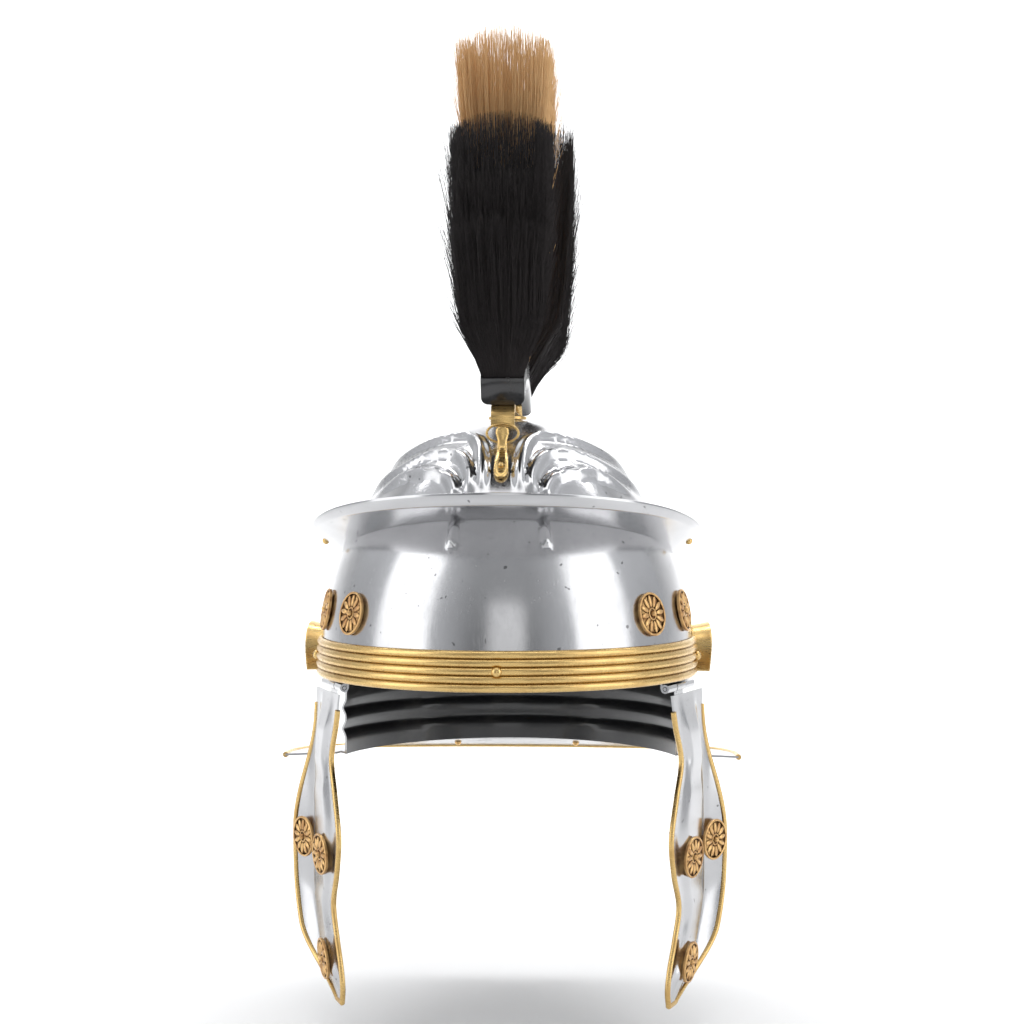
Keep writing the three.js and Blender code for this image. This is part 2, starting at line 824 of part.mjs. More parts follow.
function cheekSurface(row, section) {
  const low = Math.min(Math.floor(section), cheekSections.length - 2);
  const share = section - low;
  const near = cheekPoint(row, cheekSections[low]);
  return near.lerp(cheekPoint(row, cheekSections[low + 1]), share);
}

// A rosette's seat: square to the plate, just clear of the highest point under it
function cheekRosettePlace(row, section) {
  const down = cheekSurface(row + 0.5, section).sub(cheekSurface(row - 0.5, section));
  const across = cheekSurface(row, section + 0.4).sub(cheekSurface(row, section - 0.4));
  const normal = down.cross(across).normalize();
  if (normal.x < 0) normal.negate();
  const point = cheekSurface(row, section);
  let highest = 0;
  for (let i = -10; i <= 10; i += 1) {
    for (let j = 0; j <= 24; j += 1) {
      const nearby = cheekSurface(row + i / 4, (j / 24) * (cheekSections.length - 1)).sub(point);
      const height = nearby.dot(normal);
      const aside = Math.sqrt(nearby.lengthSq() - height ** 2);
      if (aside < rosetteDiameter / 2 + 2) highest = Math.max(highest, height);
    }
  }
  point.addScaledVector(normal, highest + 2.4 * gap);
  return { point, normal };
}

function cheekGuard({ side, sign }) {
  const group = new THREE.Group();
  group.position.set(sign * hingeX, hingeY, hingeZ);
  group.rotation.z = -sign * degrees(hingeTurn);
  const facing = (solid) => (sign > 0 ? solid : mirroredSolid(solid));
  group.add(piece(`hinge_leaf_${side}`, facing(hingeLeaf()), steel()));
  const pin = alongY(hingePinDiameter / 2, -hingeLength / 2, hingeLength / 2);
  group.add(piece(`hinge_pin_${side}`, pin, steel()));
  group.add(piece(`cheek_plate_${side}`, facing(cheekPlate()), steel()));
  group.add(piece(`cheek_trim_${side}`, facing(cheekTrim()), brass()));
  for (const { place, row, section } of cheekRosettes) {
    const { point, normal } = cheekRosettePlace(row, section);
    point.x *= sign;
    normal.x *= sign;
    const name = `cheek_rosette_${side}_${place}`;
    group.add(placed(piece(name, rosette(), agedBrass()), point, normal));
    group.add(placed(piece(`${name}_rivet`, rivet(0.45 * rosetteHeight), agedBrass()), point, normal));
  }
  return group;
}

// Crest: a fan about the centre of the holder's arc

const fanCentre = new THREE.Vector3(0, holderCentreY, sheetThickness + holderLift - holderArcRadius);

function fanPoint(across, angle, radius) {
  return new THREE.Vector3(across, Math.sin(angle) * radius, Math.cos(angle) * radius).add(fanCentre);
}

function fanLoft(outline, fromAngle, toAngle, steps) {
  const rings = [];
  for (let i = 0; i <= steps; i += 1) {
    const angle = THREE.MathUtils.lerp(fromAngle, toAngle, i / steps);
    rings.push(outline.map(([across, radius]) => fanPoint(across, angle, radius)));
  }
  return loft(rings);
}

function crestHolder() {
  const half = holderWidth / 2;
  const inside = half - holderWall;
  const reach = degrees(holderHalfAngle);
  const endWall = holderWall / holderArcRadius;
  const base = holderArcRadius;
  const top = base + holderHeight;
  const corner = holderCorner;
  const outer = fanLoft([
    [-half, top], [-half, base + corner], [-half + corner, base],
    [half - corner, base], [half, base + corner], [half, top],
  ], -reach, reach, 14);
  const floor = base + holderWall;
  const hollow = fanLoft([
    [-inside, top + 1], [-inside, floor + corner], [-inside + corner, floor],
    [inside - corner, floor], [inside, floor + corner], [inside, top + 1],
  ], -reach + endWall, reach - endWall, 14);
  return outer.subtract(hollow);
}

function crestPost() {
  const foot = postFootDiameter / 2;
  const neck = postDiameter / 2;
  const base = sheetThickness + gap;
  const top = sheetThickness + holderLift - 2 * gap;
  const pad = 0.36 * holderWidth;
  const post = turned([
    [0, base], [foot, base], [foot, base + 1.5], [neck, base + 4],
    [neck, top - 4], [pad, top - 1.5], [pad, top], [0, top],
  ], 16);
  const mesh = piece('crest_post', post, brass());
  mesh.position.y = holderCentreY;
  return mesh;
}

// A flat bar along a path in the middle plane
function bar(path, width, thickness) {
  return loft(path.map((point, k) => {
    const ahead = path[Math.min(k + 1, path.length - 1)];
    const behind = path[Math.max(k - 1, 0)];
    const along = ahead.clone().sub(behind).normalize();
    const normal = new THREE.Vector3(1, 0, 0).cross(along);
    return [[-1, -1], [1, -1], [1, 1], [-1, 1]].map(([across, above]) => point.clone()
      .setX((across * width) / 2)
      .addScaledVector(normal, (above * thickness) / 2));
  }));
}

const strapRadius = holderArcRadius - gap - brassThickness;
const holderReach = degrees(holderHalfAngle);
const strapEndY = holderCentreY - Math.sin(holderReach) * holderArcRadius - 3;
const strapEndZ = fanPoint(0, -holderReach, holderArcRadius).z - 12;

function crestStrap() {
  return bar([
    fanPoint(0, -0.75 * holderReach, strapRadius),
    fanPoint(0, -0.9 * holderReach, strapRadius),
    fanPoint(0, -holderReach, strapRadius),
    new THREE.Vector3(0, strapEndY, strapEndZ + 7),
    new THREE.Vector3(0, strapEndY, strapEndZ),
  ], strapWidth, 2 * brassThickness);
}

const ringY = strapEndY - brassThickness - gap - ringWire / 2;
const ringFlattening = 0.6;

function crestRing() {
  const geometry = new THREE.TorusGeometry((ringDiameter - ringWire) / 2, ringWire / 2, 6, 18);
  const mesh = piece('crest_ring', solidFromGeometry(geometry), brass());
  mesh.geometry.scale(1, ringFlattening, 1);
  mesh.rotation.x = Math.PI / 2;
  mesh.position.set(0, ringY, strapEndZ + 2 - (ringFlattening * ringDiameter) / 2);
  return mesh;
}

// Widths along the hook as shares of the bulb, from its foot to its tip
const hookSections = [
  { share: 0, width: 0.5 },
  { share: 0.12, width: 1.1 },
  { share: 0.3, width: 1 },
  { share: 0.5, width: 0.72 },
  { share: 0.7, width: 0.7 },
  { share: 0.85, width: 1 },
  { share: 1, width: 0.5 },
];
const hookBulb = 7.4;
const hookThickness = 2.6;

function frontHook() {
  const out = gap + hookThickness / 2;
  const standing = ringY - ringWire / 2 - gap - hookThickness / 2 - 0.8;
  const path = new THREE.CatmullRomCurve3([
    domePoint(0, degrees(42), out),
    domePoint(0, degrees(37), out),
    domePoint(0, degrees(32), out),
    new THREE.Vector3(0, standing, strapEndZ - 6),
    new THREE.Vector3(0, standing - 0.5, strapEndZ),
  ]);
  const corners = 8;
  return loft(hookSections.map(({ share, width }) => {
    const centre = path.getPoint(share);
    const normal = new THREE.Vector3(1, 0, 0).cross(path.getTangent(share)).normalize();
    return Array.from({ length: corners }, (_, i) => {
      const angle = 2 * Math.PI * (i / corners);
      return centre.clone()
        .setX(0.5 * hookBulb * width * Math.cos(angle))
        .addScaledVector(normal, 0.5 * hookThickness * Math.min(1, width + 0.2) * Math.sin(angle));
    });
  }));
}

function frontHookRivet() {
  const polar = degrees(38.5);
  const head = turned([
    [0, 0],
    [0.3 * rivetHeadDiameter, 0],
    [0.22 * rivetHeadDiameter, 0.5 * rivetHeadHeight],
    [0, 0.7 * rivetHeadHeight],
  ], 8);
  const point = domePoint(0, polar, 2 * gap + hookThickness);
  return placed(piece('front_hook_rivet', head, brass()), point, domeNormal(0, polar));
}

function rearHook() {
  const rearEnd = fanPoint(0, holderReach, strapRadius);
  const out = gap + brassThickness + 0.3;
  return bar([
    fanPoint(0, 0.75 * holderReach, strapRadius),
    fanPoint(0, 0.9 * holderReach, strapRadius),
    rearEnd,
    rearEnd.clone().add(new THREE.Vector3(0, 3, -8)),
    domePoint(Math.PI, degrees(32), out + 1),
    domePoint(Math.PI, degrees(36), out),
    domePoint(Math.PI, degrees(40), out),
  ], strapWidth, 2 * brassThickness);
}

// A tapered lock of hair from a root to a tip
function lock(root, tip, width) {
  const along = tip.clone().sub(root).normalize();
  const side = new THREE.Vector3(0, Math.abs(along.y) > 0.9 ? 0 : 1, Math.abs(along.y) > 0.9 ? 1 : 0);
  const first = side.cross(along).normalize();
  const second = along.clone().cross(first);
  const ring = (centre, half) => [[1, 1], [-1, 1], [-1, -1], [1, -1]].map(([a, b]) => centre.clone()
    .addScaledVector(first, a * half)
    .addScaledVector(second, b * half));
  return loft([ring(root, width / 2), ring(tip, width / 10)]);
}

const hairRoot = holderWidth / 2 - holderWall - gap;
const hairFloor = holderArcRadius + holderWall + gap;
const holderTop = holderArcRadius + holderHeight;
const hairEndAngle = holderReach - (holderWall + 2 * gap) / holderArcRadius;
const hairSplit = gap / 2 / holderTop;

// Where the hair ends at an angle in the fan: it shortens toward the end of the holder
function hairRadius(angle, radius) {
  const shortening = THREE.MathUtils.smoothstep(Math.abs(angle), 0.65 * hairEndAngle, hairEndAngle);
  return radius * (1 - 0.16 * shortening);
}

function hairSway(radius, lean) {
  return lean * THREE.MathUtils.smoothstep(radius, holderTop, holderTop + hairSwayRun);
}

function plume({ from, to, radius, lean, endFace }) {
  const rings = [];
  const steps = 5;
  const core = (angle) => hairRadius(angle, radius) - hairLockReach;
  for (let i = 0; i <= steps; i += 1) {
    const angle = THREE.MathUtils.lerp(from, to, i / steps);
    const at = (across, reach) => fanPoint(across + hairSway(reach, lean), angle, reach);
    const half = [
      [hairRoot - holderCorner, hairFloor],
      [hairRoot, hairFloor + holderCorner],
      [hairRoot, holderTop + 3],
      [hairHalfWidth, holderTop + 14],
      [hairHalfWidth, core(angle) - 12],
      [0.8 * hairHalfWidth, core(angle)],
    ];
    const mirrored = [...half].reverse().map(([across, reach]) => [-across, reach]);
    rings.push([...half, ...mirrored].map(([across, reach]) => at(across, reach)));
  }
  const locks = [];
  const lockWidth = 13;
  const addLock = (angle, across, root, tip, spread, turn = 0) => locks.push(lock(
    fanPoint(across + hairSway(root, lean), angle, root),
    fanPoint(across + spread + hairSway(tip, lean), angle + turn, tip),
    lockWidth,
  ));
  const margin = (0.5 * lockWidth + 1) / holderTop;
  for (const share of [0, 0.5, 1]) {
    const angle = THREE.MathUtils.lerp(from + margin, to - margin, share);
    for (const place of [-0.62, 0, 0.62]) {
      const top = hairRadius(angle, radius);
      addLock(angle, place * hairHalfWidth, top - hairLockLength, top, place * 5);
    }
    for (const height of [0.25, 0.7]) {
      const root = THREE.MathUtils.lerp(holderTop, core(angle), height * 0.85);
      for (const side of [-1, 1]) {
        const spread = side * (hairLockReach + 5);
        addLock(angle, side * (hairHalfWidth - 7), root, root + hairLockLength, spread);
      }
    }
  }
  if (endFace !== 0) {
    const angle = endFace < 0 ? from : to;
    for (const height of [0.15, 0.4, 0.65, 0.85]) {
      const root = THREE.MathUtils.lerp(holderTop + 10, core(angle), height);
      const inset = endFace * (7 / root);
      for (const place of [-0.5, 0.5]) {
        const turn = inset + endFace * (hairLockReach / root);
        addLock(angle - inset, place * hairHalfWidth, root, root + hairLockLength, 0, turn);
      }
    }
  }
  return joined([loft(rings), ...locks]);
}

const middleEdge = degrees(hairMiddleHalfAngle);
const plumes = [
  {
    name: 'plume_front', from: -hairEndAngle, to: -middleEdge - hairSplit,
    radius: hairFrontRadius, lean: 0, endFace: -1, material: blackHair,
  },
  {
    name: 'plume_middle', from: -middleEdge + hairSplit, to: middleEdge - hairSplit,
    radius: hairMiddleRadius, lean: 0, endFace: 0, material: naturalHair,
  },
  {
    name: 'plume_rear', from: middleEdge + hairSplit, to: hairEndAngle,
    radius: hairRearRadius, lean: rearHairLean, endFace: 1, material: blackHair,
  },
];

// The whole helmet

const helmet = new THREE.Group();
helmet.add(piece('bowl', bowl(), steel()));
helmet.add(piece('neck_guard_trim', neckGuardTrim(), brass()));
helmet.add(...neckRivets());
helmet.add(piece('visor', visor(), steel()));
helmet.add(...visorRivets());
helmet.add(piece('brow_band', browBand(), brass()));
helmet.add(...bandRivets());
helmet.add(...bowlRosettes());
helmet.add(piece('ear_guard_right', earGuard(), brass()));
helmet.add(piece('ear_guard_left', mirroredSolid(earGuard()), brass()));
helmet.add(...sides.map(cheekGuard));
helmet.add(crestPost());
helmet.add(piece('crest_holder', crestHolder(), blackPaint()));
helmet.add(piece('crest_strap', crestStrap(), brass()));
helmet.add(crestRing());
helmet.add(piece('front_hook', frontHook(), brass()));
helmet.add(frontHookRivet());
helmet.add(piece('rear_hook', rearHook(), brass()));
for (const { name, material, ...shape } of plumes) {
  helmet.add(piece(name, plume(shape), material()));
}

export default helmet;
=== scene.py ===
"""Crested Roman helmet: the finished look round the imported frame, as an add-on run as a script."""
import math

import bmesh
import bpy
import numpy as np
from bpy.props import FloatProperty, FloatVectorProperty, IntProperty, PointerProperty
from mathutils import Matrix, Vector


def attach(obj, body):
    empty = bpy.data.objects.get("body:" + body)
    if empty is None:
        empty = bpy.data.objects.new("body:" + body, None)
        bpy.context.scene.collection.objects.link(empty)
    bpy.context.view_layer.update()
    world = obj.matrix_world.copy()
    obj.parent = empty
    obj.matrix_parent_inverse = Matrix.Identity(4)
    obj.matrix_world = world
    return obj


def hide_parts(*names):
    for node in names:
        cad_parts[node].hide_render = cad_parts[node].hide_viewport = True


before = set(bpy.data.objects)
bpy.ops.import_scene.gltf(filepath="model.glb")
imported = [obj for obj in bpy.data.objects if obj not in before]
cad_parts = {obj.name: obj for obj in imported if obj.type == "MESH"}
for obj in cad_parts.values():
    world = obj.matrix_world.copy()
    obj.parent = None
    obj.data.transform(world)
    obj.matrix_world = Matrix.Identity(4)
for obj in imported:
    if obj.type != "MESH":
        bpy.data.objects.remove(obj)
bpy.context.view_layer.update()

bl_info = {
    "name": "Crested helmet",
    "version": (1, 0, 0),
    "blender": (4, 5, 0),
    "location": "3D View > Sidebar > Helmet",
    "description": "Builds a crested steel helmet with brass fittings round its frame",
    "category": "Object",
}

MM = 0.001
SIDES = {"left": -1, "right": 1}


# Sizes in millimetres that the surfaces share

SHEET = 1.2
GAP = 0.35
SEMI = np.array([105.0, 120.0, 138.0])
DOME_Z = SHEET - SEMI[2]
RIM_Z = DOME_Z - 5.0
NAPE_Z = RIM_Z - 52.0
NAPE_ANGLE = 70.0
NAPE_START = math.radians(180 - NAPE_ANGLE)
NAPE_RIBS = (-167.8, -180.3)
NAPE_RIB_HEIGHT = 2.2
NAPE_RIB_WIDTH = 3.2
NECK_HALF_WIDTH = 135
NECK_FRONT = 45
NECK_LENGTH = 120
EAR_FRONT = 1.0
EAR_REAR = 39.0
EAR_MIDDLE = (EAR_REAR + EAR_FRONT) / 2
EAR_HALF = (EAR_REAR - EAR_FRONT) / 2
EAR_HEIGHT = 23.0
BAND_HEIGHT = 21.0
DOME_ROWS, NAPE_ROWS, NECK_ROWS = 100, 36, 14
WALL_RATE = 110  # plain wall, in millimetres, for each radian that a column runs past the dome
BROW_STEPS = 160
BROW_FLOOR = -75
BROWS = {
    "outer": [(8, 49), (9, 38), (15, 28), (28, 23.5), (55, 26.5), (77, 33), (92, 39), (100, 44)],
    "middle": [(12.5, 49), (14, 40), (24, 33), (44, 33), (60, 38.5), (75, 43.5), (86, 48)],
    "inner": [(17, 49), (19, 45), (24, 41.5), (33, 40), (47, 40), (60, 44), (72, 48.5)],
    "spur": [(15.5, 56.0), (15.5, 57.5), (15.5, 59.5)],
}


# Settings that a user may change

class HelmetSizes(bpy.types.PropertyGroup):
    brow_height: FloatProperty(
        name="Brow height", description="How far the embossed brows stand out", default=0.0034,
        subtype="DISTANCE", unit="LENGTH")
    brow_width: FloatProperty(
        name="Brow width", description="Half the width of one embossed brow", default=0.0046,
        subtype="DISTANCE", unit="LENGTH")
    rib_count: IntProperty(name="Band ribs", description="Ribs along the brow band", default=5)
    petal_count: IntProperty(name="Petals", description="Petals round each rosette", default=12)
    strands: IntProperty(
        name="Strands", description="Hairs in each part of the crest", default=6000)
    hair_radius: FloatProperty(
        name="Hair radius", description="Radius of a hair at its root", default=0.00024,
        subtype="DISTANCE", unit="LENGTH")


class HelmetColours(bpy.types.PropertyGroup):
    steel: FloatVectorProperty(
        name="Steel", description="Polished steel", subtype="COLOR", size=3, default=(0.55, 0.55, 0.56))
    brass: FloatVectorProperty(
        name="Brass", description="Satin brass", subtype="COLOR", size=3, default=(0.68, 0.47, 0.19))
    aged_brass: FloatVectorProperty(
        name="Aged brass", description="Brass of the rosettes", subtype="COLOR", size=3,
        default=(0.74, 0.47, 0.20))
    black_paint: FloatVectorProperty(
        name="Black paint", description="Paint inside the bowl and on the crest holder",
        subtype="COLOR", size=3, default=(0.012, 0.012, 0.013))
    black_hair: FloatVectorProperty(
        name="Black hair", description="Front and rear of the crest", subtype="COLOR", size=3,
        default=(0.014, 0.010, 0.008))
    natural_hair: FloatVectorProperty(
        name="Natural hair", description="Middle of the crest", subtype="COLOR", size=3,
        default=(0.80, 0.56, 0.30))


def sizes():
    return bpy.context.scene.helmet_sizes


def colours():
    return bpy.context.scene.helmet_colours


# Curves and meshes

def spline(points, count):
    """Points evenly spread in parameter along a smooth curve through the given points."""
    points = np.asarray(points, float)
    padded = np.vstack([2 * points[0] - points[1], points, 2 * points[-1] - points[-2]])
    result = []
    for t in np.linspace(0, len(points) - 1, count):
        k = min(int(t), len(points) - 2)
        u = t - k
        a, b, c, d = padded[k:k + 4]
        result.append(0.5 * (2 * b + (c - a) * u + (2 * a - 5 * b + 4 * c - d) * u ** 2
                             + (3 * b - a - 3 * c + d) * u ** 3))
    return np.array(result)


def smooth(low, high, value):
    share = np.clip((np.asarray(value, float) - low) / (high - low), 0, 1)
    return share * share * (3 - 2 * share)


def new_object(name, vertices, faces, materials, edges=()):
    mesh = bpy.data.meshes.new(name)
    mesh.from_pydata(np.asarray(vertices, float).tolist(), list(edges), faces)
    mesh.update()
    for material in materials:
        mesh.materials.append(material)
    piece = bpy.data.objects.new(name, mesh)
    bpy.context.scene.collection.objects.link(piece)
    return piece


def bake(piece):
    """Turns the piece with its modifiers into a plain mesh."""
    evaluated = piece.evaluated_get(bpy.context.evaluated_depsgraph_get())
    mesh = bpy.data.meshes.new_from_object(evaluated, depsgraph=bpy.context.evaluated_depsgraph_get())
    old = piece.data
    piece.modifiers.clear()
    piece.data = mesh
    bpy.data.meshes.remove(old)
    return piece


def shade(piece, angle=40):
    piece.data.polygons.foreach_set("use_smooth", [True] * len(piece.data.polygons))
    piece.data.set_sharp_from_angle(angle=math.radians(angle))
    return piece


def grid_faces(columns, rows, closed=False, keep=None):
    faces = []
    for i in range(columns if closed else columns - 1):
        following = (i + 1) % columns
        for j in range(rows - 1):
            if keep is None or keep(i, j):
                faces.append((i * rows + j, i * rows + j + 1, following * rows + j + 1, following * rows + j))
    return faces


def wall(piece, thickness, inside_material=0):
    """Gives a surface its thickness, inward from its faces."""
    solid = piece.modifiers.new("wall", "SOLIDIFY")
    solid.thickness = thickness * MM
    solid.offset = -1
    solid.use_even_offset = True
    solid.material_offset = inside_material
    return bake(piece)


def merge(piece):
    """Merges doubled corners and turns the faces one way."""
    shape = bmesh.new()
    shape.from_mesh(piece.data)
    bmesh.ops.remove_doubles(shape, verts=shape.verts, dist=1e-6)
    bmesh.ops.dissolve_degenerate(shape, dist=1e-7, edges=shape.edges)
    bmesh.ops.recalc_face_normals(shape, faces=shape.faces)
    shape.to_mesh(piece.data)
    shape.free()
    return piece


def sheet(name, columns, material):
    """A surface through columns of points, in millimetres."""
    columns = np.asarray(columns, float)
    faces = grid_faces(*columns.shape[:2])
    return merge(new_object(name, columns.reshape(-1, 3) * MM, faces, [material]))


def directions(path):
    """Unit vectors along a path."""
    ahead = np.gradient(path, axis=0)
    return ahead / np.linalg.norm(ahead, axis=1, keepdims=True)


def circle(radius, count):
    """Corners of a circle, as pairs."""
    turns = np.linspace(0, 2 * math.pi, count, endpoint=False)
    return [(radius * math.cos(turn), radius * math.sin(turn)) for turn in turns]


def swept(name, rings, materials, closed=False):
    """A closed body through rings of points, in millimetres."""
    rings = np.asarray(rings, float)
    count, corners = rings.shape[:2]
    faces = []
    for k in range(count if closed else count - 1):
        following = (k + 1) % count
        for i in range(corners):
            j = (i + 1) % corners
            faces.append((k * corners + i, k * corners + j, following * corners + j, following * corners + i))
    if not closed:
        faces.append(tuple(range(corners - 1, -1, -1)))
        faces.append(tuple((count - 1) * corners + i for i in range(corners)))
    piece = new_object(name, rings.reshape(-1, 3) * MM, faces, materials)
    return merge(piece)


def settle(piece, body, nodes):
    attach(piece, body)
    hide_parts(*nodes)
    return piece


# Points on the bowl

def dome(azimuth, polar, out=0.0):
    azimuth, polar = np.broadcast_arrays(np.asarray(azimuth, float), np.asarray(polar, float))
    direction = np.stack([
        np.sin(polar) * np.sin(azimuth),
        -np.sin(polar) * np.cos(azimuth),
        np.cos(polar),
    ], axis=-1)
    normal = direction / SEMI
    normal /= np.linalg.norm(normal, axis=-1, keepdims=True)
    return direction * SEMI + normal * np.asarray(out)[..., None] + np.array([0, 0, DOME_Z])


def outward_at(azimuth):
    """Level direction out from the helmet's upright axis."""
    return np.array([math.sin(azimuth), -math.cos(azimuth), 0])


def dome_normal(azimuth, polar):
    offset = dome(azimuth, polar, 1.0) - dome(azimuth, polar, 0.0)
    return offset / np.linalg.norm(offset, axis=-1, keepdims=True)


def on_wall(azimuth, z, out=0.0):
    z = np.asarray(z, float)
    polar = np.arccos(np.clip((np.maximum(z, DOME_Z) - DOME_Z) / SEMI[2], 0, 1))
    point = dome(azimuth, polar, out)
    point[..., 2] = z
    return point


def rim_height(azimuth):
    """Lower edge of the bowl at an azimuth: level, but for the arch over each ear."""
    place = (-SEMI[1] * math.cos(azimuth) - EAR_MIDDLE) / EAR_HALF
    if abs(place) >= 1:
        return RIM_Z
    return RIM_Z + EAR_HEIGHT * math.sqrt(1 - place * place)


def neck_edge(turn):
    """Outer edge of the neck guard: turn runs from -1 at one corner to 1 at the other."""
    rearward = np.cos(math.pi / 2 * turn)
    return np.array([NECK_HALF_WIDTH * np.sin(math.pi / 2 * turn),
                     NECK_FRONT + NECK_LENGTH * rearward ** 0.75, NAPE_Z - 2 - 9 * rearward])


def bowl_azimuths():
    """Columns round the bowl, packed closer where the ear arch is steep."""
    ear_front = math.acos(-EAR_FRONT / SEMI[1])
    front = np.linspace(0, ear_front, 96)[:-1]
    places = EAR_MIDDLE - EAR_HALF * np.cos(np.linspace(0, math.pi, 27))
    ear = np.arccos(-places / SEMI[1])
    rear = np.linspace(NAPE_START, math.pi, 46)
    half_turn = np.concatenate([front, ear, rear])
    return np.concatenate([half_turn, 2 * math.pi - half_turn[-2:0:-1]])


# Brows: how far the sheet is raised at each point of the dome

def ridge_fade(name):
    """Strength of a ridge along its course: a brow fades toward both ends, a spur doesn't."""
    if name == "spur":
        return np.full(BROW_STEPS, 0.85)
    from_start = np.linspace(0, 1, BROW_STEPS)
    from_end = np.linspace(1, 0, BROW_STEPS)
    return smooth(0, 0.12, from_start) * smooth(0, 0.3, from_end)


def nearest_on_line(points, line, fade):
    """Distance from each point to a line's nearest place, and the line's strength there."""
    near = np.full(len(points), np.inf)
    strength = np.zeros(len(points))
    for place, value in zip(line, fade):
        gap = np.linalg.norm(points - place, axis=1)
        closer = gap < near
        near[closer] = gap[closer]
        strength[closer] = value
    return near, strength


def brow_lift(points):
    """Height of the embossing at dome points, from their distance to each ridge's course."""
    width = sizes().brow_width / MM
    height = sizes().brow_height / MM
    lift = np.zeros(len(points))
    for name, course in BROWS.items():
        path = spline(course, BROW_STEPS)
        reach = width * (0.7 if name == "spur" else 1.0)
        for sign in (-1, 1):
            line = dome(np.radians(sign * path[:, 0]), np.radians(path[:, 1]))
            near, strength = nearest_on_line(points, line, ridge_fade(name))
            ridge = height * np.clip(1 - (near / reach) ** 2, 0, 1) ** 1.3 * strength
            lift = np.maximum(lift, ridge)
    return lift


# Bowl: columns from the crown down, then the nape and the neck guard

def nape_part(azimuth):
    z = np.linspace(RIM_Z, NAPE_Z, NAPE_ROWS + 1)[1:]
    ribs = NAPE_RIB_HEIGHT * sum(np.exp(-((z - rib) / NAPE_RIB_WIDTH) ** 2) for rib in NAPE_RIBS)
    return on_wall(azimuth, z, ribs)


def neck_point(azimuth, share):
    """Point of the neck guard, from its root on the nape out to its edge."""
    root = on_wall(azimuth, np.array([NAPE_Z]))[0]
    turn = np.clip((math.pi - azimuth) / math.radians(NAPE_ANGLE), -1, 1)
    return root * (1 - share) + neck_edge(turn) * share


def neck_part(azimuth):
    share = np.linspace(0, 1, NECK_ROWS + 1)[1:, None]
    neck = neck_point(azimuth, share)
    neck[:, 2] += 1.6 * (1 - smooth(0, 0.12, share[:, 0]))
    return neck


def bowl_column(azimuth):
    """One column of the bowl's outer face: the dome, then plain wall, nape and neck guard."""
    rim = rim_height(azimuth if azimuth <= math.pi else 2 * math.pi - azimuth)
    end = math.acos(min(1, (max(rim, DOME_Z) - DOME_Z) / SEMI[2]))
    drop = max(0, DOME_Z - rim)
    arc = np.linspace(0, end + drop / WALL_RATE, DOME_ROWS)
    column = dome(azimuth, np.minimum(arc, end))
    column[:, 2] -= np.maximum(0, arc - end) * WALL_RATE
    return np.vstack([column, nape_part(azimuth), neck_part(azimuth)])


def raise_brows(points, row, turn):
    polar = np.arccos(np.clip((points[:, 2] - DOME_Z) / SEMI[2], 0, 1))
    high = (points[:, 2] > BROW_FLOOR) & (row < DOME_ROWS) & (np.cos(turn) > -0.35)
    lift = np.zeros(len(points))
    lift[high] = brow_lift(points[high])
    return points + lift[:, None] * dome_normal(turn, polar)


def drop_loose(piece):
    shape = bmesh.new()
    shape.from_mesh(piece.data)
    loose = [corner for corner in shape.verts if not corner.link_faces]
    bmesh.ops.delete(shape, geom=loose, context="VERTS")
    shape.to_mesh(piece.data)
    shape.free()


def make_bowl():
    azimuths = bowl_azimuths()
    columns = [bowl_column(azimuth) for azimuth in azimuths]
    rows = len(columns[0])
    row = np.tile(np.arange(rows), len(azimuths))
    points = raise_brows(np.vstack(columns), row, np.repeat(azimuths, rows))
    nape_start = NAPE_START - 1e-6
    nape_end = 2 * math.pi - nape_start

    def keep(i, j):
        return j < DOME_ROWS - 1 or (nape_start <= azimuths[i] < nape_end - 2e-6)

    faces = grid_faces(len(azimuths), rows, closed=True, keep=keep)
    bowl = new_object("helmet_bowl", points * MM, faces, [steel_finish(), black_finish("bowl_inside", 0.3)])
    merge(bowl)
    highest = max(bowl.data.polygons, key=lambda face: face.center.z)
    if highest.normal.z < 0:
        bowl.data.flip_normals()
    drop_loose(bowl)
    wall(bowl, SHEET, inside_material=1)
    return shade(bowl, 38)


# Visor, band and ear guards

VISOR_SPAN = 88
VISOR_HEIGHT = -74
VISOR_SLOPE = 0.212
LIP_TURN = math.radians(75)


def visor_seat(azimuth, out):
    """Where the visor's sloping plane meets the dome, found by halving."""
    low, high = 0.0, math.pi / 2
    for _ in range(40):
        middle = (low + high) / 2
        point = dome(azimuth, middle)
        if point[2] > VISOR_HEIGHT - VISOR_SLOPE * point[1]:
            low = middle
        else:
            high = middle
    return dome(azimuth, high, out)


def visor_shape(azimuth):
    """Width, rise and lip of the visor: broad and flat in front, narrow and steep at the sides."""
    frontness = max(math.cos(azimuth), 0)
    width = 15 + 20 * frontness ** 2
    rise = math.radians(43 + (9.5 - 43) * frontness ** 0.5)
    return width, rise, 6 * (0.25 + 0.75 * frontness)


def visor_column(azimuth):
    """One column of the visor's outer face: a foot on the bowl, the sagging sheet, the upturned lip."""
    width, rise, lip = visor_shape(azimuth)
    outward = outward_at(azimuth)
    seat = visor_seat(azimuth, GAP + SHEET * math.sin(rise))
    column = [seat + np.array([0, 0, 1.0])]
    for share in np.linspace(0, 1, 12):
        belly = 0.6 * math.sin(math.pi * share)
        column.append(seat + outward * width * share
                      + np.array([0, 0, width * share * math.tan(rise) - belly]))
    base = column[-1]
    for angle in np.linspace(0.2, 1, 7) * LIP_TURN:
        lift = lip * (1 - math.cos(angle)) / (1 - math.cos(LIP_TURN))
        column.append(base + outward * (0.55 * lip * math.sin(angle)) + np.array([0, 0, lift]))
    return column


